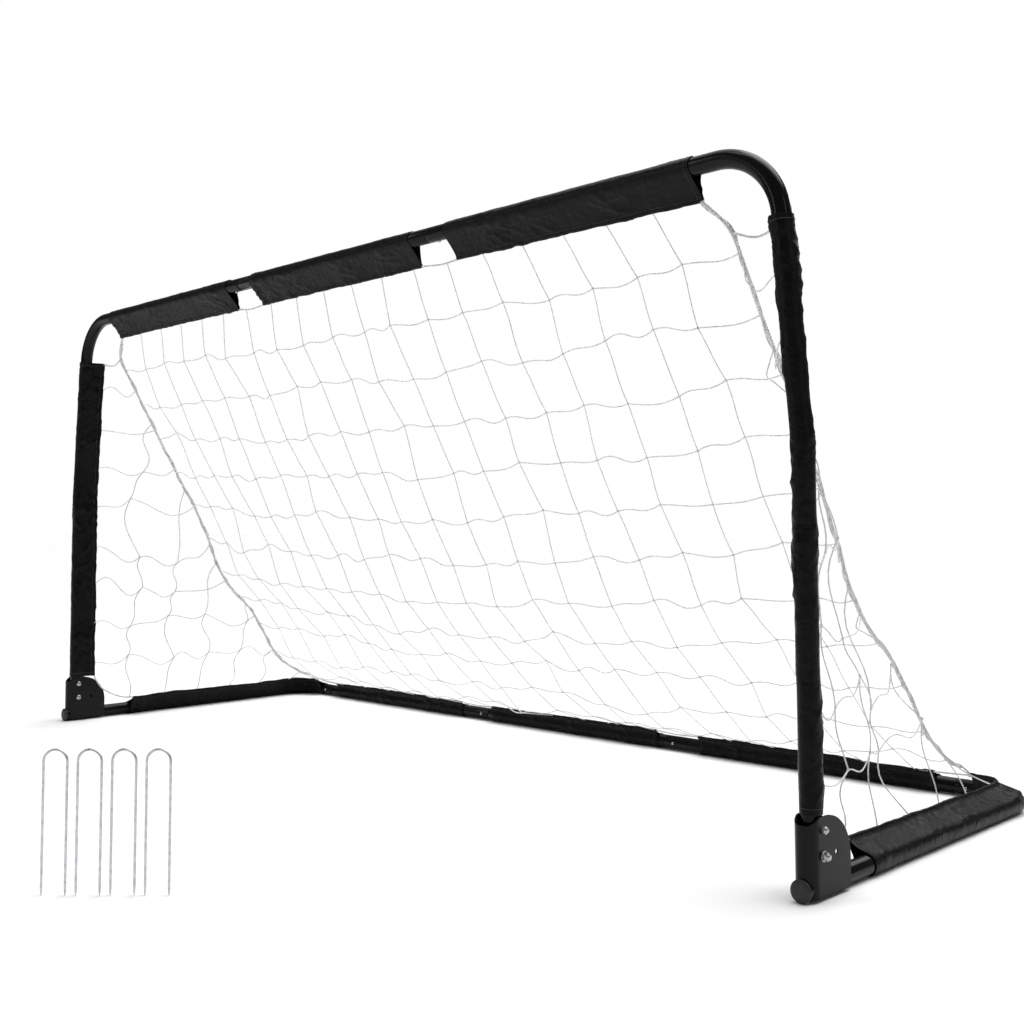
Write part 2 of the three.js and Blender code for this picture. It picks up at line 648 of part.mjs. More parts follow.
// The convex outline moved in by a distance; points run counter-clockwise.
function inset(points, distance) {
  const lines = points.map((p, i) => {
    const q = points[(i + 1) % points.length];
    const length = Math.hypot(q[0] - p[0], q[1] - p[1]);
    const normal = [-(q[1] - p[1]) / length, (q[0] - p[0]) / length];
    return [...normal, normal[0] * p[0] + normal[1] * p[1] + distance];
  });
  return lines.map((line, i) => {
    const before = lines[(i + lines.length - 1) % lines.length];
    const det = before[0] * line[1] - before[1] * line[0];
    return [(before[2] * line[1] - before[1] * line[2]) / det,
      (before[0] * line[2] - before[2] * line[0]) / det];
  });
}

// Flat lattice that fills an outline in its own XY plane.
function lattice(outline) {
  const xs = outline.map((p) => p[0]);
  const ys = outline.map((p) => p[1]);
  const windows = [];
  const columns = Math.round((Math.max(...xs) - Math.min(...xs)) / NET_CELL);
  const rows = Math.round((Math.max(...ys) - Math.min(...ys)) / NET_CELL);
  const wide = (Math.max(...xs) - Math.min(...xs)) / columns;
  const tall = (Math.max(...ys) - Math.min(...ys)) / rows;
  const half = NET_BAR / 2;
  for (let i = 0; i < columns; i++) {
    for (let j = 0; j < rows; j++) {
      const x = Math.min(...xs) + i * wide;
      const y = Math.min(...ys) + j * tall;
      windows.push(box(x + half, x + wide - half, y + half, y + tall - half, -1, NET_THICK + 1));
    }
  }
  const holes = windows.map(toSolid).reduce((a, b) => a.add(b));
  const inside = toSolid(prism(inset(outline, NET_BAR), NET_THICK + 4)).translate([0, 0, -2]);
  return toGeometry(toSolid(prism(outline, NET_THICK)).subtract(holes.intersect(inside)));
}

// Places a flat panel: its X and Y axes and its corner.
function placed(geometry, origin, xAxis, yAxis) {
  const normal = vec(0, 0, 0).crossVectors(xAxis, yAxis);
  const matrix = new THREE.Matrix4().makeBasis(xAxis, yAxis, normal).setPosition(origin);
  return geometry.applyMatrix4(matrix);
}

function cord(points, radius, steps) {
  const section = new THREE.Shape();
  section.absarc(0, 0, radius, 0, 2 * Math.PI, false);
  const geometry = new THREE.ExtrudeGeometry(section, {
    steps, curveSegments: 4, bevelEnabled: false,
    extrudePath: new THREE.CatmullRomCurve3(points),
  });
  return mergeVertices(strip(geometry), 1e-3);
}

// A straight rope under a row of hems: half length, hem distance, flap direction, tube axis.
function hemRope(name, half, hem, toward, y, z) {
  const reach = hem + ROPE + GAP;
  const points = [-1, -0.5, 0, 0.5, 1].map((share) =>
    vec(share * half, y + reach * toward[0], z + reach * toward[1]));
  add(name, cord(points, ROPE, 8), twine());
}

function buildNet() {
  const top = vec(0, POST_Y + NET_TOP.back, RAIL_Z + NET_TOP.up);
  const foot = vec(0, POST_Y + NET_FOOT.back, RAIL_Z + NET_FOOT.up);
  const slope = top.clone().sub(foot);
  const length = slope.length();
  const back = lattice([[-NET_FOOT.half, 0], [NET_FOOT.half, 0],
    [NET_TOP.half, length], [-NET_TOP.half, length]]);
  add("net_back", placed(back, foot, vec(1, 0, 0), slope.normalize()), twine());

  const low = RAIL_Z + SIDE_NET.low;
  const side = lattice([[SIDE_NET.front, low], [SIDE_NET.back, low],
    [SIDE_NET.front, RAIL_Z + SIDE_NET.high]]);
  const panel = placed(side, vec(HALF_WIDTH - SIDE_NET.inside, POST_Y, 0), BACK, UP);
  addPair("net_side", panel, twine);

  const swing = rad(TOP_FLAP);
  const lean = rad(REAR_LEAN);
  hemRope("net_rope_top", ROPE_TOP, TOP_HEM, [Math.sin(swing), -Math.cos(swing)], POST_Y, TOP_Z);
  hemRope("net_rope_rear", ROPE_REAR, REAR_FLAP, [-Math.sin(lean), Math.cos(lean)],
    REAR_Y, RAIL_Z);

  const seam = SEAM.map(([x, back, up]) => vec(x, POST_Y + back, RAIL_Z + up));
  addPair("net_seam_rope", cord(seam, SEAM_ROPE, 24), twine);
}

// ---- ground pegs --------------------------------------------------------------------
// A hairpin of round wire standing on its points.
function pegGeometry() {
  const bend = PEG_WIDTH / 2 - PEG_WIRE;
  const neck = PEG_LENGTH - PEG_WIRE - bend;
  const stations = [];
  const put = (x, z, dx, dz, radius) => stations.push({
    at: vec(x, 0, z), dir: vec(dx, 0, dz), normal: BACK, radius });
  put(bend, 0, 0, 1, PEG_TIP);
  put(bend, PEG_POINT, 0, 1, PEG_WIRE);
  for (let k = 0; k <= SMALL_SIDES; k++) {
    const a = (Math.PI * k) / SMALL_SIDES;
    put(bend * Math.cos(a), neck + bend * Math.sin(a), -Math.sin(a), Math.cos(a), PEG_WIRE);
  }
  put(-bend, PEG_POINT, 0, -1, PEG_WIRE);
  put(-bend, 0, 0, -1, PEG_TIP);
  const six = Array.from({ length: 6 }, (_, k) => ((k + 0.5) * Math.PI) / 3);
  return loft(stations.map((s) => ring(s, six, () => s.radius)));
}

function buildPegs() {
  const row = new THREE.Group();
  row.position.set(PEG_ROW[0], POST_Y + PEG_ROW[1], 0);
  row.rotation.z = rad(PEG_TURN);
  for (let k = 0; k < 4; k++) {
    const peg = new THREE.Mesh(pegGeometry(), zinc());
    peg.name = `ground_peg_${k + 1}`;
    peg.position.x = (k - 1.5) * PEG_PITCH;
    row.add(peg);
  }
  goal.add(row);
}

buildFrontFrame();
buildGroundFrame();
buildRailCap();
buildBracket();
buildFasteners();
buildButtons();
buildSleeves();
buildNet();
buildPegs();

export default goal;
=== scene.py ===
import math

import bmesh
import bpy
import numpy as np
from mathutils import Matrix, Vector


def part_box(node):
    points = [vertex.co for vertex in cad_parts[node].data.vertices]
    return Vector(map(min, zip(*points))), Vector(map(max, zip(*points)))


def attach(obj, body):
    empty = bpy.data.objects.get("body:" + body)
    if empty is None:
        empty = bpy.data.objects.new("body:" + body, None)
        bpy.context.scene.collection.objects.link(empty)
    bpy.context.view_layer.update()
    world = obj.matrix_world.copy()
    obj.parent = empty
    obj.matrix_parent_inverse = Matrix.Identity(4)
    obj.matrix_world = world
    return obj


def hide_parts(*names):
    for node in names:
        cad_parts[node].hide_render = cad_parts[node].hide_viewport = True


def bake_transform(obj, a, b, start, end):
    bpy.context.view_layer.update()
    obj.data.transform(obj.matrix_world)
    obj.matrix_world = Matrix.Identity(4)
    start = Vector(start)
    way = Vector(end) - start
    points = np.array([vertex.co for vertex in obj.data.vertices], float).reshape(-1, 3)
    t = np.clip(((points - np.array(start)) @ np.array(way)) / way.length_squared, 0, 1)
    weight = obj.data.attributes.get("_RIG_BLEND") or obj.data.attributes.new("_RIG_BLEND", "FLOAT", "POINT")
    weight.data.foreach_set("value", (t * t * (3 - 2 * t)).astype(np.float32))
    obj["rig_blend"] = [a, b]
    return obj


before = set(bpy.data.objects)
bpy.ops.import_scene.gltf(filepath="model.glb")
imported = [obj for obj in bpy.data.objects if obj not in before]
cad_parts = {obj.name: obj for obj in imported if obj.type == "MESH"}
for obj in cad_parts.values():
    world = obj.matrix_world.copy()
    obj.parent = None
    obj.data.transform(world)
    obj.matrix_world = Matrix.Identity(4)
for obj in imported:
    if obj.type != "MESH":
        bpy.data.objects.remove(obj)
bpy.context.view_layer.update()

rad = math.radians

# ---- dimensions, in metres -------------------------------------------------------------
TUBE = 0.014             # outer radius of the steel tube
BORE = 0.0128            # its inner radius
PLUG = 0.0125            # outer radius of a swaged end
PLUG_BORE = 0.0113
PLUG_IN = 0.045          # length of a swaged end
GAP = 0.0003
POST_LEAN = rad(4.5)     # the upper half of a post leans in by this much
TOP_BEND = 0.105
REAR_BEND = 0.086
LOCK = 0.0334            # pivot bolt to lock bolt, and to the spare rear hole
PLATE = 0.0022           # bracket plate
FLAP = 0.045             # tube axis to the hem of a sleeve's flap
TOP_FLAP = 0.054         # the same on the crossbar
REAR_FLAP = 0.030
BUTTON_IN = 0.022        # joint line to the axis of its snap button
NOSE = 0.009             # post axis forward to the centre of a bracket's round front
FOOT = 0.0115            # radius of a post's foot, which turns behind that front
RAIL_NOSE = 0.0263       # post axis forward to the end of a side rail's tube
TUNNEL = 0.0024          # radius of the hem tunnel along a flap's edge
TOP_SWING = rad(25)      # the crossbar's flaps swing back from straight down
REAR_LEAN = rad(36)      # the rear flaps lean forward from straight up
SIDE_LEAN = rad(45)      # the side rails' flaps lean in from straight up
POST_SWING = rad(38)     # the posts' flaps turn in from straight back


def middle(node, axis):
    low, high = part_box(node)
    return (low[axis] + high[axis]) / 2


# ---- places, from the frame ------------------------------------------------------------
POST_X = middle("rail_cap_right", 0)
POST_Y = middle("crossbar_center", 1)
REAR_Y = middle("rear_tube_center", 1)
RAIL_Z = middle("rear_tube_center", 2)
TOP_Z = middle("crossbar_center", 2)
PIVOT_Z = middle("pivot_spacer_right", 2)
MID_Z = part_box("corner_tube_right")[0][2]
TOP_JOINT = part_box("corner_tube_right")[0][0]
REAR_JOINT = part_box("rear_tube_right")[0][0]
CORNER_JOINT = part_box("side_tube_right")[0][0]
KINK_Z = MID_Z + 0.050
CORNER_X = POST_X - (TOP_Z - KINK_Z) * math.tan(POST_LEAN)
UP, BACK, RIGHT = np.eye(3)[[2, 1, 0]]


# ---- camera ----------------------------------------------------------------------------
def add_camera():
    """A standing lens a little left of the right post, level with the middle of the mouth."""
    eye = (1.9026, -1.4204, 0.4864)
    yaw, pitch, roll = rad(44.83), rad(3.81), rad(-0.29)
    ahead = np.array([-math.sin(yaw) * math.cos(pitch), math.cos(yaw) * math.cos(pitch),
                      math.sin(pitch)])
    right = np.cross(ahead, UP)
    right /= np.linalg.norm(right)
    above = np.cross(right, ahead)
    right, above = (right * math.cos(roll) + above * math.sin(roll),
                    above * math.cos(roll) - right * math.sin(roll))
    data = bpy.data.cameras.new("camera")
    data.sensor_width = 36
    data.lens = 42.4
    data.shift_y = -0.0667
    data.clip_end = 200
    camera = bpy.data.objects.new("camera", data)
    turn = np.column_stack([right, above, -ahead])
    camera.matrix_world = Matrix.Translation(eye) @ Matrix(turn.tolist()).to_4x4()
    bpy.context.scene.collection.objects.link(camera)
    bpy.context.scene.camera = camera


add_camera()


# ---- materials -------------------------------------------------------------------------
class Nodes:
    """A new material with one Principled shader, and short calls to build its node tree."""

    def __init__(self, name, **sockets):
        self.material = bpy.data.materials.new(name)
        self.material.use_nodes = True
        self.tree = self.material.node_tree
        self.shader = self.tree.nodes["Principled BSDF"]
        for label, value in sockets.items():
            self.shader.inputs[label.replace("_", " ")].default_value = value

    def node(self, kind, inputs=None, **settings):
        made = self.tree.nodes.new("ShaderNode" + kind)
        for key, value in settings.items():
            setattr(made, key, value)
        for key, value in (inputs or {}).items():
            if isinstance(value, bpy.types.NodeSocket):
                self.tree.links.new(value, made.inputs[key])
            else:
                made.inputs[key].default_value = value
        return made

    def noise(self, scale, detail=2.0, at=None, stretch=None):
        place = at or self.node("TexCoord").outputs["Object"]
        if stretch:
            place = self.node("Mapping", {"Vector": place, "Scale": stretch}).outputs["Vector"]
        return self.node("TexNoise", {"Vector": place, "Scale": scale,
                                      "Detail": detail}).outputs["Fac"]

    def spread(self, value, low, high, start=0.3, end=0.7):
        return self.node("MapRange", {"Value": value, "From Min": start, "From Max": end,
                                      "To Min": low, "To Max": high}).outputs["Result"]

    def tint(self, value, dark, light):
        ramp = self.node("ValToRGB", {"Fac": value})
        ramp.color_ramp.elements[0].position = 0.3
        ramp.color_ramp.elements[1].position = 0.7
        ramp.color_ramp.elements[0].color = (*dark, 1)
        ramp.color_ramp.elements[1].color = (*light, 1)
        return ramp.outputs["Color"]

    def bump(self, height, strength, distance, under=None):
        inputs = {"Height": height, "Strength": strength, "Distance": distance}
        if under:
            inputs["Normal"] = under
        return self.node("Bump", inputs).outputs["Normal"]

    def use(self, **sockets):
        for label, value in sockets.items():
            self.tree.links.new(value, self.shader.inputs[label.replace("_", " ")])
        return self.material


def black_paint():
    m = Nodes("black_paint", IOR=1.20, Coat_Weight=0.06, Coat_Roughness=0.06)
    peel = m.noise(420, 2)
    cloud = m.noise(9, 3)
    return m.use(Base_Color=m.tint(cloud, (0.003, 0.003, 0.0033), (0.006, 0.006, 0.0064)),
                 Roughness=m.spread(m.noise(38, 4), 0.15, 0.24),
                 Normal=m.bump(peel, 0.12, 0.0006))


def zinc():
    m = Nodes("zinc_hardware", Metallic=0.95)
    light = 0.46
    grain = m.noise(260, 3, stretch=(1, 0.15, 1))
    return m.use(Base_Color=m.tint(m.noise(60, 3), (light * 0.82,) * 3, (light, light, light * 1.02)),
                 Roughness=m.spread(grain, 0.16, 0.30),
                 Normal=m.bump(grain, 0.15, 0.0003))


def peg_steel():
    m = Nodes("peg_steel", Metallic=0.95)
    drawn = m.noise(900, 2, stretch=(1, 1, 0.02))
    spangle = m.noise(140, 3)
    return m.use(Base_Color=m.tint(spangle, (0.42, 0.43, 0.45), (0.66, 0.67, 0.69)),
                 Roughness=m.spread(spangle, 0.26, 0.44),
                 Normal=m.bump(drawn, 0.2, 0.0002))


def sleeve_fabric():
    """Black satin-backed polyester: crossed threads, fine creases, soft sheen."""
    m = Nodes("sleeve_fabric", IOR=1.19, Sheen_Weight=0.01, Sheen_Roughness=0.5)
    uv = m.node("TexCoord").outputs["UV"]
    warp = m.node("TexWave", {"Vector": uv, "Scale": 420.0, "Distortion": 0.4},
                  bands_direction="X").outputs["Fac"]
    weft = m.node("TexWave", {"Vector": uv, "Scale": 300.0, "Distortion": 0.4},
                  bands_direction="Y").outputs["Fac"]
    weave = m.node("Math", {0: warp, 1: weft}, operation="MULTIPLY").outputs["Value"]
    crease = m.noise(85, 5)
    soft = m.bump(crease, 0.75, 0.0024)
    return m.use(Base_Color=m.tint(m.noise(30, 4), (0.002, 0.002, 0.0024), (0.005, 0.005, 0.0056)),
                 Roughness=m.spread(m.noise(55, 4), 0.25, 0.38),
                 Normal=m.bump(weave, 0.22, 0.0003, soft))


def thread():
    m = Nodes("sewing_thread", Sheen_Weight=0.2)
    ply = m.noise(2400, 2)
    return m.use(Base_Color=m.tint(ply, (0.02, 0.02, 0.022), (0.045, 0.045, 0.048)),
                 Roughness=m.spread(ply, 0.45, 0.6),
                 Normal=m.bump(ply, 0.3, 0.0002))


def net_twine():
    """White spun polyester, a little fuzzy, twisted."""
    m = Nodes("net_twine", Sheen_Weight=0.15, Subsurface_Weight=0.06)
    ply = m.noise(1300, 2, stretch=(1, 1, 1.7))
    return m.use(Base_Color=m.tint(m.noise(120, 3), (0.54, 0.54, 0.54), (0.76, 0.76, 0.75)),
                 Roughness=m.spread(ply, 0.65, 0.85),
                 Normal=m.bump(ply, 0.5, 0.0004))


def cap_plastic():
    m = Nodes("cap_plastic", Specular_IOR_Level=0.45)
    grain = m.noise(900, 3)
    return m.use(Base_Color=m.tint(m.noise(70, 3), (0.010, 0.010, 0.011), (0.018, 0.018, 0.019)),
                 Roughness=m.spread(grain, 0.42, 0.6),
                 Normal=m.bump(grain, 0.25, 0.0003))


PAINT, ZINC, PEG, FABRIC, THREAD, TWINE, PLASTIC = (
    black_paint(), zinc(), peg_steel(), sleeve_fabric(), thread(), net_twine(), cap_plastic())


# ---- stage and light -------------------------------------------------------------------
def add_sun(name, strength, soft, heading, height):
    data = bpy.data.lights.new(name, "SUN")
    data.energy = strength
    data.angle = rad(soft)
    lamp = bpy.data.objects.new(name, data)
    lamp.rotation_euler = (rad(90 - height), 0, rad(heading))
    bpy.context.scene.collection.objects.link(lamp)


def add_panel(name, place, aim, size, power):
    data = bpy.data.lights.new(name, "AREA")
    data.shape = "RECTANGLE"
    data.size, data.size_y = size
    data.energy = power
    lamp = bpy.data.objects.new(name, data)
    out = np.array(place, float) - np.array(aim, float)
    out /= np.linalg.norm(out)
    side = np.cross(UP, out)
    side /= np.linalg.norm(side)
    turn = np.column_stack([side, np.cross(out, side), out])
    lamp.matrix_world = Matrix.Translation(place) @ Matrix(turn.tolist()).to_4x4()
    bpy.context.scene.collection.objects.link(lamp)


def add_stage():
    mesh = bpy.data.meshes.new("floor")
    reach, sides = 60.0, 96
    ring = [(reach * math.cos(2 * math.pi * k / sides), reach * math.sin(2 * math.pi * k / sides), 0)
            for k in range(sides)]
    mesh.from_pydata(ring, [], [list(range(sides))])
    floor = bpy.data.objects.new("floor", mesh)
    bpy.context.scene.collection.objects.link(floor)
    m = Nodes("floor", Specular_IOR_Level=0.1)
    mesh.materials.append(m.use(Base_Color=m.tint(m.noise(0.8, 2), (0.93,) * 3, (0.95,) * 3),
                                Roughness=m.spread(m.noise(6, 2), 0.85, 0.95)))

    world = bpy.data.worlds.new("studio")
    world.use_nodes = True
    tree = world.node_tree
    seen = tree.nodes.new("ShaderNodeBackground")
    seen.inputs["Color"].default_value = (1, 1, 1, 1)
    around = tree.nodes["Background"]
    around.inputs["Color"].default_value = (1, 1, 1, 1)
    around.inputs["Strength"].default_value = 0.12
    path = tree.nodes.new("ShaderNodeLightPath")
    mix = tree.nodes.new("ShaderNodeMixShader")
    tree.links.new(path.outputs["Is Camera Ray"], mix.inputs["Fac"])
    tree.links.new(around.outputs["Background"], mix.inputs[1])
    tree.links.new(seen.outputs["Background"], mix.inputs[2])
    tree.links.new(mix.outputs["Shader"], tree.nodes["World Output"].inputs["Surface"])
    bpy.context.scene.world = world
    bpy.context.scene.view_settings.view_transform = "Standard"

    add_sun("key_sun", 2.05, 50, 160, 66)
    add_sun("fill_sun", 1.25, 70, 215, 70)
    aim = (0, 0.2, 0.5)
    add_panel("strip_left", (-1.9, -3.0, 2.6), aim, (0.35, 1.8), 22)
    add_panel("strip_right", (4.2, -0.4, 2.2), aim, (0.3, 1.8), 8)
    add_panel("strip_top", (0.6, -0.4, 4.0), aim, (2.5, 0.25), 12)
    add_panel("strip_back", (0.5, 4.0, 2.4), aim, (2.5, 0.25), 10)


add_stage()


# ---- mesh helpers ----------------------------------------------------------------------
def unit(v):
    return v / np.linalg.norm(v, axis=-1, keepdims=True)


def skin(rings, hoop=False, capped=False):
    """Vertices and faces of a surface through closed rings; "hoop" joins last to first."""
    n, m = rings.shape[:2]
    i, k = np.meshgrid(np.arange(n if hoop else n - 1), np.arange(m), indexing="ij")
    j, p = (i + 1) % n, (k + 1) % m
    faces = np.stack([i * m + k, i * m + p, j * m + p, j * m + k], -1).reshape(-1, 4).tolist()
    if capped:
        faces += [list(range(m)), list(range((n - 1) * m, n * m))]
    return rings.reshape(-1, 3), faces


def gather(parts):
    """One vertex list and one face list from several."""
    points, faces, start = [], [], 0
    for p, f in parts:
        points.append(p)
        faces += [[start + i for i in face] for face in f]
        start += len(p)
    return np.concatenate(points), faces


def make(name, shape, material, sharp=35):
    points, faces = shape
    mesh = bpy.data.meshes.new(name)
    mesh.from_pydata(np.asarray(points).tolist(), [], faces)
    work = bmesh.new()
    work.from_mesh(mesh)
    bmesh.ops.recalc_face_normals(work, faces=work.faces)
    work.to_mesh(mesh)
    work.free()
    mesh.materials.append(material)
    mesh.shade_smooth()
    mesh.set_sharp_from_angle(angle=rad(sharp))
    piece = bpy.data.objects.new(name, mesh)
    bpy.context.scene.collection.objects.link(piece)
    return piece


def settle(piece, sharp=35):
    """Applies a piece's modifiers."""
    ready = piece.evaluated_get(bpy.context.evaluated_depsgraph_get())
    mesh = bpy.data.meshes.new_from_object(ready)
    piece.modifiers.clear()
    piece.data = mesh
    mesh.shade_smooth()
    mesh.set_sharp_from_angle(angle=rad(sharp))
    return piece


def carve(piece, *tools, how="DIFFERENCE"):
    for tool in tools:
        change = piece.modifiers.new("carve", "BOOLEAN")
        change.operation = how
        change.solver = "EXACT"
        change.object = tool
    settle(piece)
    for tool in tools:
        bpy.data.objects.remove(tool)
    return piece


def soften(piece, width, segments=2, angle=30):
    bevel = piece.modifiers.new("bevel", "BEVEL")
    bevel.width = width
    bevel.segments = segments
    bevel.limit_method = "ANGLE"
    bevel.angle_limit = rad(angle)
    return settle(piece)


def points_of(piece):
    return np.array([v.co for v in piece.data.vertices], float)


def twin(piece, name):
    """The mirror image of a right-hand piece, on the left."""
    mesh = piece.data.copy()
    mesh.transform(Matrix.Diagonal((-1, 1, 1, 1)))
    mesh.flip_normals()
    other = bpy.data.objects.new(name, mesh)
    bpy.context.scene.collection.objects.link(other)
    return other


def rounded(corners, step=0.002):
    """Dense points along straight runs joined by arcs; corners are (point, bend radius)."""
    points = [np.array(corners[0][0], float)]
    for (a, _), (b, bend), (c, _) in zip(corners, corners[1:], corners[2:]):
        a, b, c = (np.array(p, float) for p in (a, b, c))
        before, after = unit(b - a), unit(c - b)
        angle = math.acos(np.clip(before @ after, -1, 1))
        if angle < 1e-4:
            points.append(b)
            continue
        start = b - before * bend * math.tan(angle / 2)
        inward = unit(after - before * (after @ before))
        turns = np.linspace(0, angle, max(3, int(angle * bend / step)))
        points += [start + inward * bend * (1 - math.cos(t)) + before * bend * math.sin(t)
                   for t in turns]
    points.append(np.array(corners[-1][0], float))
    return np.array(points)


def length_along(points):
    return np.concatenate([[0], np.cumsum(np.linalg.norm(np.diff(points, axis=0), axis=1))])


def sample(points, at):
    """Places and directions at distances along a line of points."""
    run = length_along(points)

    def place(s):
        return np.stack([np.interp(s, run, points[:, k]) for k in range(3)], -1)

    eps = 5e-4
    low, high = np.clip(at - eps, 0, run[-1]), np.clip(at + eps, 0, run[-1])
    return place(at), unit(place(high) - place(low))


def circle_rings(centres, along, normal, radii, sides):
    across = unit(np.cross(np.broadcast_to(normal, along.shape), along))
    turn = 2 * np.pi * (np.arange(sides) + 0.5) / sides
    flat = (np.cos(turn)[None, :, None] * across[:, None]
            + np.sin(turn)[None, :, None] * unit(np.cross(along, across))[:, None])
    return centres[:, None] + flat * np.asarray(radii)[:, None, None]


def pipe(name, corners, normal, ends=("open", "open"), sides=40, spacing=0.005):
    """Hollow tube. An end is "open", with an eased rim, or "plug", swaged to fit a socket."""
    points = rounded(corners)
    total = length_along(points)[-1]
    rim, taper = 0.0004, 0.003
    marks = []
    for kind, sign in zip(ends, (1, -1)):
        if kind == "plug":
            near = [(0, PLUG - rim, PLUG_BORE), (rim, PLUG, PLUG_BORE), (PLUG_IN, PLUG, PLUG_BORE),
                    (PLUG_IN + taper, TUBE, BORE)]
        else:
            near = [(0, TUBE - rim, BORE), (rim / 3, TUBE - rim / 3, BORE), (rim, TUBE, BORE)]
        marks += [(s if sign > 0 else total - s, outer, inner) for s, outer, inner in near]
    marks = np.array(sorted(marks))
    runs = [marks[:, 0]]
    if len(corners) > 2:
        runs.append(np.arange(0.006, total - 0.006, spacing))
    at = np.unique(np.concatenate(runs))
    outer = np.interp(at, marks[:, 0], marks[:, 1])
    inner = np.interp(at, marks[:, 0], marks[:, 2])
    centres, along = sample(points, at)
    skins = [circle_rings(centres, along, normal, r, sides) for r in (outer, inner)]
    return make(name, skin(np.concatenate([skins[0], skins[1][::-1]]), hoop=True), PAINT, 50)


def rod(points, radii, sides):
    """A solid rod along free-form points, its section carried along without twist."""
    points = np.asarray(points, float)
    along = unit(np.gradient(points, axis=0))
    start = np.cross(along[0], UP if abs(along[0][2]) < 0.9 else BACK)
    normals = [unit(start)]
    for direction in along[1:]:
        carried = normals[-1] - direction * (normals[-1] @ direction)
        normals.append(unit(carried))
    normals = np.array(normals)
    turn = 2 * np.pi * np.arange(sides) / sides
    flat = (np.cos(turn)[None, :, None] * normals[:, None]
            + np.sin(turn)[None, :, None] * np.cross(along, normals)[:, None])
    radii = np.broadcast_to(np.asarray(radii, float), len(points))
    return skin(points[:, None] + flat * radii[:, None, None], capped=True)


def cylinder(at, along, radius, length, sides=48):
    """A plain cutter, centred on a point."""
    at, along = np.array(at, float), unit(np.array(along, float))
    normal = UP if abs(along[2]) < 0.9 else BACK
    ends = np.array([at - along * length / 2, at + along * length / 2])
    rings = circle_rings(ends, np.array([along, along]), normal, [radius, radius], sides)
    return make("cutter", skin(rings, capped=True), PAINT)


def turned(name, profile, at, axis, material, sides=48, sharp=35):
    """Solid of revolution from (distance along axis, radius) pairs; a profile that starts
    and ends at radius 0 is solid, any other closes on itself."""
    at, axis = np.array(at, float), unit(np.array(axis, float))
    solid = profile[0][1] == 0
    inner = profile[1:-1] if solid else profile
    centres = at + np.array([p[0] for p in inner])[:, None] * axis
    normal = UP if abs(axis[2]) < 0.9 else BACK
    along = np.broadcast_to(axis, centres.shape)
    rings = circle_rings(centres, along, normal, [p[1] for p in inner], sides)
    points, faces = skin(rings, hoop=not solid, capped=False)
    if solid:
        tips = [at + profile[0][0] * axis, at + profile[-1][0] * axis]
        first, last = len(points), len(points) + 1
        points = np.concatenate([points, tips])
        base = (len(inner) - 1) * sides
        for k in range(sides):
            faces.append([first, (k + 1) % sides, k])
            faces.append([last, base + k, base + (k + 1) % sides])
    return make(name, (points, faces), material, sharp)


def prism(outline, low, high, place):
    """Closed prism: outline points (a, b) at depths low and high, placed by place(a, b, c)."""
    rings = np.array([[place(a, b, c) for a, b in outline] for c in (low, high)])
    return make("cutter", skin(rings, capped=True), PAINT)


def arc(cx, cy, radius, start, end, steps):
    return [(cx + radius * math.cos(rad(start + (end - start) * k / steps)),
             cy + radius * math.sin(rad(start + (end - start) * k / steps)))
            for k in range(steps + 1)]


def on_x(a, b, c):
    """Outline in (y, z), depth along x."""
    return (c, a, b)


def finish_piece(piece, body, slot, *nodes):
    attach(piece, body)
    if nodes:
        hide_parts(*nodes)
    return piece


def pair(piece, stem, body, slot, node=None):
    """Files a right-hand piece and its twin under the same body; the slot is not used."""
    node = node or stem
    other = twin(piece, f"{stem}_left_form")
    finish_piece(piece, body, slot, f"{node}_right")
    finish_piece(other, body, slot, f"{node}_left")


# ---- steel tubes -----------------------------------------------------------------------
def drill_hole(piece, x, y, z, out, radius=0.0034):
    out = np.array(out, float)
    return carve(piece, cylinder(np.array([x, y, z]) + out * TUBE, out, radius, 0.012, 24))


def build_corner_tube():
    corners = [((POST_X, POST_Y, MID_Z), 0), ((POST_X, POST_Y, KINK_Z), 0.3),
               ((CORNER_X, POST_Y, TOP_Z), TOP_BEND), ((TOP_JOINT, POST_Y, TOP_Z), 0)]
    tube = pipe("corner_tube_right_form", corners, BACK)
    drill_hole(tube, TOP_JOINT + BUTTON_IN, POST_Y, TOP_Z, -UP)
    pair(tube, "corner_tube", "front_frame", "black_paint")


def build_crossbar():
    reach = TOP_JOINT - GAP + PLUG_IN
    corners = [((-reach, POST_Y, TOP_Z), 0), ((reach, POST_Y, TOP_Z), 0)]
    tube = pipe("crossbar_center_form", corners, BACK, ("plug", "plug"))
    for sign in (1, -1):
        drill_hole(tube, sign * (TOP_JOINT + BUTTON_IN), POST_Y, TOP_Z, -UP)
    finish_piece(tube, "front_frame", "black_paint", "crossbar_center")


def build_lower_post():
    """The foot is rounded about the pivot, with a slot that lets it swing off the lock bolt."""
    corners = [((POST_X, POST_Y, PIVOT_Z - TUBE), 0), ((POST_X, POST_Y, MID_Z - GAP + PLUG_IN), 0)]
    tube = pipe("lower_post_right_form", corners, BACK, ("open", "plug"))
    wide = 2 * TUBE
    foot = [(POST_Y + wide, TOP_Z), (POST_Y - wide, TOP_Z), (POST_Y - wide, PIVOT_Z + 0.010)]
    foot += arc(POST_Y, PIVOT_Z, FOOT, 180, 360, 24)
    foot += [(POST_Y + wide, PIVOT_Z + 0.010)]
    side = (POST_X - wide, POST_X + wide)
    carve(tube, prism(foot, *side, on_x), how="INTERSECT")
    half = 0.0036
    slot = arc(POST_Y, PIVOT_Z, LOCK + half, 90, 132, 10)
    slot += arc(POST_Y, PIVOT_Z, LOCK - half, 132, 90, 10)
    slot += arc(POST_Y, PIVOT_Z + LOCK, half, -90, 90, 10)[1:-1]
    hole = cylinder((POST_X, POST_Y, PIVOT_Z), RIGHT, 0.0044, 0.06)
    carve(tube, prism(slot, *side, on_x), hole)
    pair(tube, "lower_post", "front_frame", "black_paint")


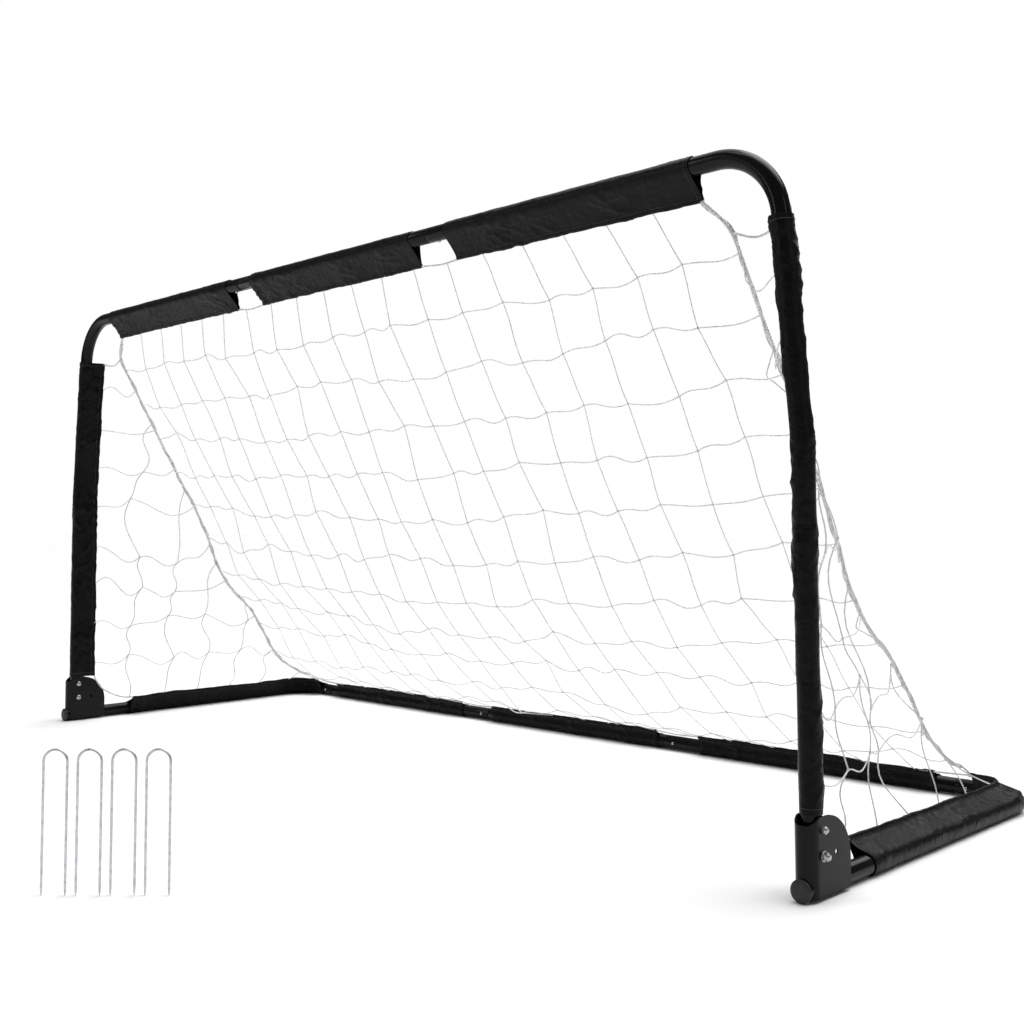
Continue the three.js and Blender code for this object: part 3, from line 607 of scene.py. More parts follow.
def build_ground_tubes():
    corners = [((POST_X, POST_Y - RAIL_NOSE, RAIL_Z), 0), ((POST_X, REAR_Y, RAIL_Z), REAR_BEND),
               ((CORNER_JOINT, REAR_Y, RAIL_Z), 0)]
    side = pipe("side_tube_right_form", corners, UP)
    drill_hole(side, CORNER_JOINT + BUTTON_IN, REAR_Y, RAIL_Z, -BACK)
    pair(side, "side_tube", "ground_frame", "black_paint")

    corners = [((CORNER_JOINT - GAP + PLUG_IN, REAR_Y, RAIL_Z), 0), ((REAR_JOINT, REAR_Y, RAIL_Z), 0)]
    outer = pipe("rear_tube_right_form", corners, UP, ("plug", "open"))
    for joint in (CORNER_JOINT, REAR_JOINT):
        drill_hole(outer, joint + BUTTON_IN, REAR_Y, RAIL_Z, -BACK)
    pair(outer, "rear_tube", "ground_frame", "black_paint")

    reach = REAR_JOINT - GAP + PLUG_IN
    corners = [((-reach, REAR_Y, RAIL_Z), 0), ((reach, REAR_Y, RAIL_Z), 0)]
    inner = pipe("rear_tube_center_form", corners, UP, ("plug", "plug"))
    for sign in (1, -1):
        drill_hole(inner, sign * (REAR_JOINT + BUTTON_IN), REAR_Y, RAIL_Z, -BACK)
    finish_piece(inner, "ground_frame", "black_paint", "rear_tube_center")


def build_rail_cap():
    """Moulded plug: a rim as wide as the sleeve, a shallow dome and a ribbed stem."""
    face = POST_Y - RAIL_NOSE - GAP
    rim = TUBE + 0.0013
    stem = BORE - GAP
    profile = [(-0.0052, 0), (-0.0051, 0.006), (-0.0047, 0.0105), (-0.0040, 0.0132),
               (-0.0030, rim - 0.0003), (-0.0022, rim), (-0.0004, rim), (0, rim - 0.0004), (0, stem)]
    for k in range(3):
        start = 0.003 + 0.0035 * k
        profile += [(start, stem), (start + 0.0004, stem - 0.0006), (start + 0.0016, stem - 0.0006),
                    (start + 0.002, stem)]
    profile += [(0.0140, stem - 0.001), (0.0140, 0)]
    cap = turned("rail_cap_right_form", profile, (POST_X, face, RAIL_Z), BACK, PLASTIC)
    pair(cap, "rail_cap", "ground_frame", "cap_plastic")


# ---- fold brackets and their bolts -----------------------------------------------------
EAR_IN = TUBE + 0.0005
EAR_OUT = EAR_IN + PLATE
EAR_BACK = 0.069
EAR_LOW, EAR_TOP = RAIL_Z - 0.010, RAIL_Z + 0.092
EAR_ARC = 0.060
LIP = 0.010              # the front wall ends this far below the ears


def build_bracket():
    """Folded plate: rounded at the front, quarter-round ears, let over the side rail."""
    front, end = POST_Y - NOSE - EAR_OUT - 0.001, EAR_BACK + 0.010
    ear = [(front, EAR_LOW), (POST_Y + EAR_BACK, EAR_LOW)]
    ear += arc(POST_Y + EAR_BACK - EAR_ARC, EAR_TOP - EAR_ARC, EAR_ARC, 0, 90, 32)
    ear += [(POST_Y - NOSE + 0.004, EAR_TOP), (POST_Y - NOSE, EAR_TOP - 0.0006),
            (front + 0.006, EAR_TOP - LIP + 0.0006), (front, EAR_TOP - LIP)]
    plan = [(EAR_OUT, end)] + arc(0, -NOSE, EAR_OUT, 0, -180, 40) + [(-EAR_OUT, end)]
    plan += [(-EAR_IN, end)] + arc(0, -NOSE, EAR_IN, 180, 360, 40) + [(EAR_IN, end)]
    channel = prism(plan, EAR_LOW - 0.010, EAR_TOP + 0.010,
                    lambda a, b, c: (POST_X + a, POST_Y + b, c))
    channel.name = "fold_bracket_right_form"
    half = EAR_OUT + 0.010
    carve(channel, prism(ear, POST_X - half, POST_X + half, on_x), how="INTERSECT")
    tools = [cylinder((POST_X, POST_Y + 0.020, RAIL_Z), BACK, TUBE + GAP, 0.20)]
    for dy, dz, radius in ((0, 0, 0.0044), (0, LOCK, 0.0034), (LOCK, 0, 0.0034)):
        tools.append(cylinder((POST_X, POST_Y + dy, PIVOT_Z + dz), RIGHT, radius, 0.06, 32))
    carve(channel, *tools)
    soften(channel, 0.0004)
    channel.data.set_sharp_from_angle(angle=rad(12))
    pair(channel, "fold_bracket", "ground_frame", "black_paint")


def build_welds():
    """Weld beads where the bracket's ears and front wall sit on the rail."""
    height = EAR_LOW - RAIL_Z
    inset = math.sqrt(TUBE ** 2 - height ** 2)
    parts = []
    for sign in (1, -1):
        y = np.arange(POST_Y - 0.004, POST_Y + EAR_BACK - 0.001, 0.0006)
        ripple = 0.0011 + 0.00025 * np.sin((y - y[0]) * 2 * np.pi / 0.0028)
        x = np.full_like(y, POST_X + sign * (inset + 0.0016))
        parts.append(rod(np.column_stack([x, y, np.full_like(y, EAR_LOW)]), ripple, 10))
    bead = make("weld_bead_right", gather(parts), PAINT)
    other = twin(bead, "weld_bead_left")
    for piece in (bead, other):
        finish_piece(piece, "ground_frame", "black_paint")


def build_fasteners():
    """Button-head bolts across the bracket, washers and locking nuts on the outside."""
    inner = -(EAR_OUT + GAP)
    nut_face = EAR_OUT + GAP + 0.0016 + GAP

    def bolt(stem, z, head, shank, end):
        crown = [(inner - head * 0.57, 0), (inner - head * 0.56, head * 0.25),
                 (inner - head * 0.50, head * 0.55), (inner - head * 0.36, head * 0.82),
                 (inner - head * 0.16, head * 0.97), (inner - 0.0004, head), (inner, head * 0.97),
                 (inner, shank)]
        thread_start, pitch, depth = end - 0.007, 0.0010, 0.00035
        turns = [(thread_start, shank)]
        for k in range(7):
            turns += [(thread_start + pitch * (k + 0.5), shank - depth),
                      (thread_start + pitch * (k + 1), shank)]
        tip = [(end + 0.0004, shank - 0.0006), (end + 0.0006, 0)]
        made = turned(f"{stem}_right_form", crown + turns + tip, (POST_X, POST_Y, z), RIGHT, ZINC,
                      48, 25)
        key = prism(arc(POST_Y, z, head * 0.40, 0, 300, 5), POST_X + inner - head,
                    POST_X + inner - head * 0.2, on_x)
        carve(made, key)
        pair(made, stem, "ground_frame", "zinc_hardware")

    bolt("pivot_bolt", PIVOT_Z, 0.0063, 0.0039, nut_face + 0.0076)
    bolt("lock_bolt", PIVOT_Z + LOCK, 0.0060, 0.0029, EAR_OUT + GAP + 0.0070)

    def washer(name, z, radius, hole, start, thick):
        ease = 0.0002
        profile = [(start, hole), (start, radius - ease), (start + ease, radius),
                   (start + thick - ease, radius), (start + thick, radius - ease),
                   (start + thick, hole)]
        return turned(name, profile, (POST_X, POST_Y, z), RIGHT, ZINC, 48)

    pair(washer("pivot_washer_right_form", PIVOT_Z, 0.0072, 0.0043, EAR_OUT + GAP, 0.0016),
         "pivot_washer", "ground_frame", "zinc_hardware")

    def nut(stem, radius, hole, flats, height, start, z):
        hexagon = prism(arc(POST_Y, z, radius, 30, 330, 5), POST_X + start, POST_X + start + flats,
                        on_x)
        ease = radius * 0.12
        shape = [(start - 0.001, 0), (start - 0.001, radius - ease), (start, radius - ease * 0.8),
                 (start + ease * 0.5, radius * 1.01), (start + flats - ease * 0.5, radius * 1.01),
                 (start + flats, radius - ease), (start + flats + 0.001, radius - ease * 1.6),
                 (start + flats + 0.001, 0)]
        carve(hexagon, turned("cutter", shape, (POST_X, POST_Y, z), RIGHT, ZINC, 48),
              how="INTERSECT")
        collar = [(start + flats - 0.001, 0), (start + flats - 0.001, radius * 0.82),
                  (start + height - 0.0010, radius * 0.82), (start + height - 0.0003, radius * 0.74),
                  (start + height, radius * 0.64), (start + height, 0)]
        carve(hexagon, turned("cutter", collar, (POST_X, POST_Y, z), RIGHT, ZINC, 48), how="UNION")
        carve(hexagon, cylinder((POST_X + start, POST_Y, z), RIGHT, hole, 0.04))
        hexagon.name = f"{stem}_right_form"
        hexagon.data.materials.clear()
        hexagon.data.materials.append(ZINC)
        pair(hexagon, stem, "ground_frame", "zinc_hardware")

    nut("pivot_nut", 0.0063, 0.0042, 0.0046, 0.0066, nut_face, PIVOT_Z)
    nut("lock_nut", 0.0058, 0.0032, 0.0042, 0.0060, nut_face - 0.0016 - GAP, PIVOT_Z + LOCK)

    long_half = BORE - 0.0016
    spacer = [(-long_half, 0.0043), (-long_half, 0.0063), (-long_half + 0.0002, 0.0065),
              (long_half - 0.0002, 0.0065), (long_half, 0.0063), (long_half, 0.0043)]
    tube = turned("pivot_spacer_right_form", spacer, (POST_X, POST_Y, PIVOT_Z), RIGHT, ZINC)
    pair(tube, "pivot_spacer", "front_frame", "zinc_hardware")


# ---- snap buttons ----------------------------------------------------------------------
def build_button(name, body, at, out, along):
    """Domed stud on a spring leaf; "out" is where the stud points, "along" the leaf."""
    at, out, along = (np.array(v, float) for v in (at, out, along))
    low, crown, radius = 0.0083, TUBE + 0.003, 0.003
    profile = [(low, 0), (low, radius), (crown - 0.0018, radius)]
    profile += [(crown - 0.0018 + 0.0018 * math.sin(rad(a)), radius * math.cos(rad(a)))
                for a in (20, 40, 60, 75)]
    profile += [(crown, 0)]
    stud = turned(name, profile, at, out, ZINC, 32)
    side = np.cross(out, along)
    leaf = [(-0.004, -0.0032), (0.026, -0.0032), (0.026, 0.0032), (-0.004, 0.0032)]
    strip = prism(leaf, 0.0081, 0.0089, lambda a, b, c: at + along * a + side * b + out * c)
    carve(stud, strip, how="UNION")
    stud.data.materials.clear()
    stud.data.materials.append(ZINC)
    stud.name = f"{name}_form"
    finish_piece(stud, body, "zinc_hardware", name)


def build_buttons():
    places = {
        "crossbar": (TOP_JOINT, POST_Y, TOP_Z, -UP),
        "rear": (REAR_JOINT, REAR_Y, RAIL_Z, -BACK),
        "corner": (CORNER_JOINT, REAR_Y, RAIL_Z, -BACK),
    }
    for group, (joint, y, z, out) in places.items():
        for side, sign in (("right", 1), ("left", -1)):
            at = (sign * (joint + BUTTON_IN), y, z)
            build_button(f"snap_button_{group}_{side}", f"{group}_button_{side}", at, out,
                         (-sign, 0, 0))
            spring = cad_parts[f"button_spring_{group}_{side}"]
            spring.data.materials.clear()
            spring.data.materials.append(ZINC)


# ---- what bends when the frame folds ---------------------------------------------------
def polar(points):
    """Angle about the pivot line, from straight back (0) to straight up (90 degrees)."""
    angle = np.arctan2(points[:, 2] - PIVOT_Z, points[:, 1] - POST_Y)
    return np.clip(angle, 0, np.pi / 2)


def bend_with_fold(piece, weights):
    """The piece turns with the front frame by its own share at each point."""
    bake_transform(piece, "ground_frame", "front_frame", start=(0, REAR_Y, PIVOT_Z),
             end=(0, POST_Y, TOP_Z))
    share = piece.data.attributes["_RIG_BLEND"]
    share.data.foreach_set("value", np.clip(weights, 0, 1).astype(np.float32))


def bend_net(piece):
    """The net closes like a fan: every point ends up just below the folded frame's level."""
    angle = polar(points_of(piece))
    sag = rad(1.6)
    bend_with_fold(piece, (angle + sag * np.sin(2 * angle)) / (np.pi / 2))


# ---- fabric sleeves --------------------------------------------------------------------
class Noise:
    """Smooth seeded noise over a plane, from about -0.7 to 0.7."""

    def __init__(self, seed):
        rng = np.random.default_rng(seed)
        self.order = rng.permutation(256)
        angle = rng.uniform(0, 2 * np.pi, 256)
        self.slope = np.stack([np.cos(angle), np.sin(angle)], -1)

    def __call__(self, x, y):
        x, y = np.broadcast_arrays(x, y)
        xi, yi = np.floor(x).astype(int), np.floor(y).astype(int)
        fx, fy = x - xi, y - yi

        def corner(dx, dy):
            pick = self.order[(self.order[(xi + dx) & 255] + yi + dy) & 255]
            slope = self.slope[pick]
            return slope[..., 0] * (fx - dx) + slope[..., 1] * (fy - dy)

        u, v = (f * f * f * (f * (6 * f - 15) + 10) for f in (fx, fy))
        low = corner(0, 0) * (1 - u) + corner(1, 0) * u
        high = corner(0, 1) * (1 - u) + corner(1, 1) * u
        return low * (1 - v) + high * v

    def ridge(self, x, y, sharp=2.0):
        """Crests along the lines where the noise changes sign."""
        return np.clip(1 - np.abs(self(x, y)) * 2.6, 0, 1) ** sharp


def sleeve_outline(hem):
    """Closed section in (toward the hem, across): round the tube, then two layers that meet
    and end in a hem tunnel. Evenly spaced points, starting at the hem."""
    wrap, layer, hollow = TUBE + GAP + 0.0010, 0.0010, 0.0008
    knee = np.array([hem - 4 * TUNNEL, layer])
    leave = math.acos(wrap / knee[0])
    root = np.array([wrap * math.cos(leave), wrap * math.sin(leave)])
    t = np.linspace(0, 1, 24)[:, None]
    line = root + (knee - root) * t - np.array([0, hollow]) * np.sin(np.pi * t)
    centre = hem - TUNNEL
    swell = np.array([[centre - 2 * TUNNEL, layer]])
    turns = np.radians(np.linspace(125, 0, 12))
    end = np.stack([centre + TUNNEL * np.cos(turns), TUNNEL * np.sin(turns)], -1)
    round_back = np.linspace(np.pi, leave, 40)
    back = np.stack([wrap * np.cos(round_back), wrap * np.sin(round_back)], -1)
    half = np.concatenate([back, line[1:], swell, end])
    whole = np.concatenate([half[::-1], (half * [1, -1])[1:-1]])
    whole = np.concatenate([whole, whole[:1]])
    run = length_along(whole)
    count = 76 if hem > 0.04 else 60
    at = np.linspace(0, run[-1], count, endpoint=False)
    return np.stack([np.interp(at, run, whole[:, k]) for k in range(2)], -1), run[-1]


def grid_normals(grid):
    along = np.gradient(grid, axis=0)
    around = (np.roll(grid, -1, axis=1) - np.roll(grid, 1, axis=1)) / 2
    return unit(np.cross(around, along))


def on_grid(grid, i, k):
    """Places on a grid at fractional indices."""
    n, m = grid.shape[:2]
    i = np.clip(i, 0, n - 1.001)
    i0, k0 = np.floor(i).astype(int), np.floor(k).astype(int)
    past_i, past_k = (i - i0)[:, None], (k - k0)[:, None]
    at = lambda a, b: grid[a, b % m]
    near = at(i0, k0) * (1 - past_i) + at(i0 + 1, k0) * past_i
    far = at(i0, k0 + 1) * (1 - past_i) + at(i0 + 1, k0 + 1) * past_i
    return near * (1 - past_k) + far * past_k


def smooth(t):
    t = np.clip(t, 0, 1)
    return t * t * (3 - 2 * t)


def sleeve_grid(corners, normal, flap_angle, hem, seed, loose, bunched):
    """Fabric surface round a tube: rings of outline points, pushed out into folds."""
    points = rounded(corners)
    total = length_along(points)[-1]
    count = int(total / 0.0034)
    run = np.linspace(0, total, count)
    centres, along = sample(points, run)
    across = unit(np.cross(np.broadcast_to(normal, along.shape), along))
    normal = np.cross(along, across)
    toward = np.cos(flap_angle) * across + np.sin(flap_angle) * normal
    beside = -np.sin(flap_angle) * across + np.cos(flap_angle) * normal

    outline, around = sleeve_outline(hem)
    u, v = outline[None, :, 0], outline[None, :, 1]
    s = run[:, None]
    side = np.where(outline[:, 1] >= 0, 1.0, -1.0)[None]
    reach = np.clip((u - 0.012) / (hem - 0.012), 0, 1)
    noise = Noise(seed)
    path = np.abs(np.linspace(-1, 1, len(outline)))[None] * around / 2
    slant = s + 0.7 * side * path
    share = 2 * path / around
    taut = 0.30 + 0.70 * smooth(share / 0.45) * (1 - 0.55 * smooth((share - 0.78) / 0.2))
    patchy = 0.30 + 1.5 * np.clip(noise(s / 0.10 + 7.3, side * 1.7 + 0.5), -0.2, 0.6)
    folds = 1.9 * noise.ridge(slant / 0.050, side * path / 0.030 + 3.1, 2.0)
    folds += 1.2 * noise.ridge((s - 0.6 * side * path) / 0.021 + 9.0, path / 0.018, 1.7)
    folds += 0.5 * noise.ridge(s / 0.010, side * path / 0.013 + 5.0, 1.4)
    lift = 0.0018 * folds * patchy * loose * taut
    near_end = np.exp(-(total - s) / 0.055) * bunched
    lift += 0.0016 * near_end * noise.ridge((s + 0.15 * path) / 0.0085, path / 0.05 + 1.5, 1.4)
    pucker = np.exp(-((u - (hem - 0.009)) / 0.006) ** 2)
    lift += 0.0007 * pucker * (0.5 + noise(s / 0.0065, side * 3.0 + 0.2))
    sway = (0.0045 * noise(s / 0.16, 0.5 + 0 * u) + 0.0020 * noise(s / 0.045, 4.5 + 0 * u)
            + 0.0009 * noise(s / 0.018, 8.5 + 0 * u)) * loose
    shrink = 0.0010 * noise.ridge(s / 0.03, 2.5 + 0 * u) * loose
    step = np.roll(outline, -1, axis=0) - np.roll(outline, 1, axis=0)
    out2 = unit(np.stack([step[:, 1], -step[:, 0]], -1))
    if (out2 * outline).sum() < 0:
        out2 = -out2
    uu = u + out2[None, :, 0] * lift - shrink * reach
    vv = v + out2[None, :, 1] * lift + sway * reach ** 1.3
    grid = centres[:, None] + uu[..., None] * toward[:, None] + vv[..., None] * beside[:, None]
    return grid, run, outline, around


HEMS = {}                # the middle of each sleeve's hem tunnel


def add_sleeve(node, corners, normal, flap_angle, hem, seed, loose=1.0, bunched=0.0):
    grid, run, outline, around = sleeve_grid(corners, normal, flap_angle, hem, seed, loose,
                                             bunched)
    inward = unit(grid[:, len(outline) // 2] - grid[:, 0])
    HEMS[node] = grid[:, 0] + inward * TUNNEL
    clear = 0.0005
    grid[..., 2] = np.maximum(grid[..., 2], clear)
    cloth = 0.0005
    lining = (grid - grid_normals(grid) * cloth)
    if ((grid_normals(grid) * (grid - grid.mean(axis=1, keepdims=True))).sum() < 0):
        lining = grid + grid_normals(grid) * cloth
    lining[..., 2] = np.maximum(lining[..., 2], clear + cloth)
    few = np.unique(np.concatenate([np.arange(0, len(grid), 3), [len(grid) - 1]]))[::-1]
    piece = make(f"{node}_form", skin(np.concatenate([grid, lining[few]]), hoop=True), FABRIC, 60)

    layer = piece.data.uv_layers.new(name="cloth")
    total, count = len(grid) + len(few), len(outline)
    rows = np.concatenate([run, run[few]])
    steps = np.arange(count) * around / count
    loops = np.empty(len(piece.data.loops), int)
    piece.data.loops.foreach_get("vertex_index", loops)
    uv = np.stack([rows[loops // count], steps[loops % count]], -1)
    layer.data.foreach_set("uv", uv.astype(np.float32).ravel())
    assert total * count == len(piece.data.vertices)

    stitches = add_stitches(f"{node}_stitching", grid, run, outline, around)
    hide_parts(node)
    return piece, stitches


def add_stitches(name, grid, run, outline, around):
    """A zigzag of thread on both faces of the flap, above the hem tunnel, and a straight
    row round each open end."""
    rows, columns = len(grid), len(outline)
    out = grid_normals(grid)
    if ((out * (grid - grid.mean(axis=1, keepdims=True))).sum() < 0):
        out = -out
    per_step = around / columns
    near, far = 0.0075 / per_step, 0.0105 / per_step
    pitch = 0.0019
    count = int(run[-1] / pitch)
    i = np.linspace(0.4, rows - 1.4, count)
    zigzag = np.where(np.arange(count) % 2, near, far)
    lift = 0.00025
    parts = []
    for k in (zigzag, columns - zigzag):
        line = on_grid(grid, i, k) + on_grid(out, i, k) * lift
        parts.append(rod(line, 0.00028, 4))
    for i_end in (0.008, run[-1] - 0.008):
        row = np.full(columns * 2 + 1, i_end / run[-1] * (rows - 1))
        k = np.linspace(0, columns, len(row))
        line = on_grid(grid, row, k) + on_grid(out, row, k) * (lift * 0.6)
        parts.append(rod(line, 0.00024, 4))
    return make(name, gather(parts), THREAD, 60)


def post_axis(z):
    return (POST_X - max(0.0, z - KINK_Z) * math.tan(POST_LEAN), POST_Y, z)


def mirror_corners(corners, sign):
    return [((sign * x, y, z), bend) for (x, y, z), bend in corners]


def front_share(piece, from_axis):
    """Round the tube the fabric turns with the front frame, and its flap lags to lie flat."""
    points = points_of(piece)
    lag = np.clip((from_axis(points) - 0.018) / 0.018, 0, 1)
    lag = lag * lag * (3 - 2 * lag)
    bend_with_fold(piece, (1 - lag) + lag * polar(points) / (np.pi / 2))


def from_post(points):
    lean = np.maximum(0, points[:, 2] - KINK_Z) * math.tan(POST_LEAN)
    return np.hypot(np.abs(points[:, 0]) - (POST_X - lean), points[:, 1] - POST_Y)


def from_crossbar(points):
    return np.hypot(points[:, 2] - TOP_Z, points[:, 1] - POST_Y)


def build_sleeves():
    low, high = (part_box("post_sleeve_right")[k][2] for k in (0, 1))
    post = [(post_axis(low), 0), (post_axis(KINK_Z), 0.3), (post_axis(high), 0)]
    for k, (side, sign) in enumerate((("right", 1), ("left", -1))):
        # The section's first axis points out along +X, its second back.
        turn = rad(90) + sign * POST_SWING
        parts = add_sleeve(f"post_sleeve_{side}", mirror_corners(post, sign), BACK, turn, FLAP,
                           11 + k, 1.15, 1.0)
        for part in parts:
            front_share(part, from_post)

    spans = {"right": "crossbar_sleeve_right", "center": "crossbar_sleeve_center",
             "left": "crossbar_sleeve_left"}
    for k, (side, node) in enumerate(spans.items()):
        ends = [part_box(node)[j][0] for j in (1, 0)]
        corners = [((x, POST_Y, TOP_Z), 0) for x in (ends[0], sum(ends) / 2, ends[1])]
        parts = add_sleeve(node, corners, BACK, math.pi - TOP_SWING, TOP_FLAP, 21 + k)
        for part in parts:
            front_share(part, from_crossbar)

    for k, (side, node) in enumerate((("right", "rear_sleeve_right"), ("center", "rear_sleeve_center"),
                                      ("left", "rear_sleeve_left"))):
        ends = [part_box(node)[j][0] for j in (1, 0)]
        corners = [((x, REAR_Y, RAIL_Z), 0) for x in (ends[0], sum(ends) / 2, ends[1])]
        parts = add_sleeve(node, corners, UP, rad(90) - REAR_LEAN, REAR_FLAP, 31 + k, 0.8)
        for part in parts:
            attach(part, "ground_frame")

    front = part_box("side_sleeve_right")[0][1]
    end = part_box("side_sleeve_right")[0][0]
    for k, (side, sign) in enumerate((("right", 1), ("left", -1))):
        rail = [((POST_X, front, RAIL_Z), 0), ((POST_X, REAR_Y, RAIL_Z), REAR_BEND),
                ((end, REAR_Y, RAIL_Z), 0)]
        turn = rad(90) - sign * SIDE_LEAN
        parts = add_sleeve(f"side_sleeve_{side}", mirror_corners(rail, sign), UP, turn, FLAP,
                           41 + k, 0.95)
        for part in parts:
            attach(part, "ground_frame")


build_corner_tube()
build_crossbar()
build_lower_post()
build_ground_tubes()
build_rail_cap()
build_bracket()
build_welds()
build_fasteners()
build_buttons()
build_sleeves()

# ---- net -------------------------------------------------------------------------------
RNG = np.random.default_rng(5)
TWINE_R = 0.00115
ROPE_R = 0.0022
SEAM_R = 0.0030
TOP_HEM_Y = POST_Y + (TOP_FLAP - TUNNEL) * math.sin(TOP_SWING)
TOP_HEM_Z = TOP_Z - (TOP_FLAP - TUNNEL) * math.cos(TOP_SWING)
REAR_HEM_Y = REAR_Y - (REAR_FLAP - TUNNEL) * math.sin(REAR_LEAN)
REAR_HEM_Z = RAIL_Z + (REAR_FLAP - TUNNEL) * math.cos(REAR_LEAN)
MESH = 0.098             # side of a net cell


def smooth_curve(points, count):
    """Evenly spaced points on a smooth curve through the given ones (Catmull-Rom)."""
    p = np.asarray(points, float)
    p = np.concatenate([[2 * p[0] - p[1]], p, [2 * p[-1] - p[-2]]])
    t = np.linspace(0, 1, 24, endpoint=False)[:, None]
    runs = []
    for a, b, c, d in zip(p, p[1:], p[2:], p[3:]):
        runs.append(0.5 * (2 * b + (c - a) * t + (2 * a - 5 * b + 4 * c - d) * t ** 2
                           + (3 * b - a - 3 * c + d) * t ** 3))
    dense = np.concatenate(runs + [p[-2:-1]])
    return sample(dense, np.linspace(0, length_along(dense)[-1], count))[0]


def laid_rope(points, radius, pitch=0.014, strands=3):
    """Rope of twisted strands along a curve."""
    total = length_along(np.asarray(points))[-1]
    centres = smooth_curve(points, max(12, int(total / pitch * 9)))
    along = unit(np.gradient(centres, axis=0))
    normal = unit(np.cross(along, UP if abs(along[0][2]) < 0.9 else BACK))
    other = np.cross(along, normal)
    run = length_along(centres)
    parts = []
    for k in range(strands):
        turn = 2 * np.pi * (run / pitch + k / strands)
        offset = radius * 0.5 * (np.cos(turn)[:, None] * normal + np.sin(turn)[:, None] * other)
        parts.append(rod(centres + offset, radius * 0.55, 6))
    return parts


def strand(nodes, slack, steps=7, lead=None, radius=TWINE_R):
    """Twine through its knots: each span springs out of its knot and then hangs slack."""
    points = []
    t = np.linspace(0, 1, steps, endpoint=False)[:, None]
    for a, b in zip(nodes, nodes[1:]):
        span = np.linalg.norm(b - a)
        amount = slack * span * RNG.uniform(0.35, 1.25)
        wave = RNG.uniform(0.15, 1.0)
        drop = -np.sin(np.pi * t) * (1 - wave) + np.sin(2 * np.pi * t) * wave * 0.75
        sideways = RNG.normal(0, 0.3) * amount * np.sin(np.pi * t)
        push = UP if lead is None else lead
        across = unit(np.cross(unit(b - a), push))
        points.append(a + (b - a) * t + push * drop * amount + across * sideways)
    points.append(nodes[-1][None])
    line = np.concatenate(points)
    return rod(line, radius, 6)


def knot(at):
    """A small overhand knot: a lumpy ball of twine."""
    rows, sides = 5, 8
    turn = 2 * np.pi * np.arange(sides) / sides
    rings = []
    for k in range(rows):
        a = np.pi * (k + 0.5) / rows
        lump = 1 + 0.22 * np.cos(2 * turn + 2.2 * k)
        rings.append(np.stack([np.sin(a) * np.cos(turn) * lump, np.sin(a) * np.sin(turn) * lump,
                               np.full(sides, math.cos(a) * 1.15)], -1))
    spin = RNG.normal(size=(3, 3))
    q, _ = np.linalg.qr(spin)
    points, faces = skin(np.array(rings) * 0.0021, capped=True)
    return points @ q.T + at, faces


def seam_line():
    """The gathered edge where a side net meets the back net, on the right: the middle of
    each ring of the frame's seam rope, with its ends moved into the fabric's hems."""
    points = points_of(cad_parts["net_seam_rope_right"])
    points = points[np.argsort(-points[:, 2])]
    rings = np.split(points, np.flatnonzero(-np.diff(points[:, 2]) > SEAM_R) + 1)
    middles = [(ring.min(0) + ring.max(0)) / 2 for ring in rings]
    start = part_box("crossbar_sleeve_right")[1][0] - 0.002
    rear_x = middles[-1][0]
    ends = [(rear_x, REAR_HEM_Y - 0.020, REAR_HEM_Z + 0.012),
            (rear_x - 0.005, REAR_HEM_Y, REAR_HEM_Z + 0.003)]
    return smooth_curve([(start, TOP_HEM_Y, TOP_HEM_Z)] + middles[1:-1] + ends, 160)


def hem_line(nodes, sag):
    """The rope's way through a row of hems, right to left: inside each hem tunnel it
    follows the fabric, and between two sleeves it sags a little."""
    points = []
    for node in nodes:
        hem = HEMS[node][::6]
        if points:
            points.append((points[-1] + hem[0]) / 2 - UP * sag)
        points += list(hem)
    return np.array(points)


TOP_LINE = hem_line(["crossbar_sleeve_right", "crossbar_sleeve_center", "crossbar_sleeve_left"],
                    0.004)
REAR_LINE = hem_line(["rear_sleeve_right", "rear_sleeve_center", "rear_sleeve_left"], 0.002)


def on_line(line, x):
    """Points of a rope's line at places across the goal."""
    return np.stack([x] + [np.interp(x, line[::-1, 0], line[::-1, k]) for k in (1, 2)], -1)


SEAM = seam_line()


def build_back_net():
    """Square-mesh net from the crossbar's hem to the rear rail's hem, hanging slack."""
    columns, rows = 19, 12
    run = length_along(SEAM)
    share = np.linspace(0, 1, rows + 1)
    edge = sample(SEAM, np.maximum(share * run[-1], 0.001))[0]
    nodes = np.zeros((rows + 1, columns + 1, 3))
    across = np.linspace(-1, 1, columns + 1)
    for j in range(rows + 1):
        left = edge[j] * [-1, 1, 1]
        level = (left + edge[j]) / 2
        width = edge[j][0]
        sag = 0.055 * math.sin(math.pi * share[j]) * (1 - across ** 2)
        nodes[j, :, 0] = across * width
        nodes[j, :, 1] = level[1] - sag * 0.35
        nodes[j, :, 2] = level[2] - sag * 0.8
    loose = RNG.normal(0, 1, nodes.shape) * [0.006, 0.003, 0.007]
    inner = np.zeros((rows + 1, columns + 1, 1))
    inner[1:-1, 1:-1] = 1
    nodes += loose * inner
    nodes[0] = on_line(TOP_LINE, nodes[0, :, 0])
    nodes[-1] = on_line(REAR_LINE, nodes[-1, :, 0])
    parts = [strand(nodes[j], 0.085) for j in range(1, rows)]
    parts += [strand(nodes[:, i], 0.02, 7, RIGHT, TWINE_R * 0.8) for i in range(1, columns)]
    parts += [knot(p) for p in nodes[1:-1, 1:-1].reshape(-1, 3)]
    net = make("net_back_form", gather(parts), TWINE, 60)
    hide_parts("net_back")
    bend_net(net)


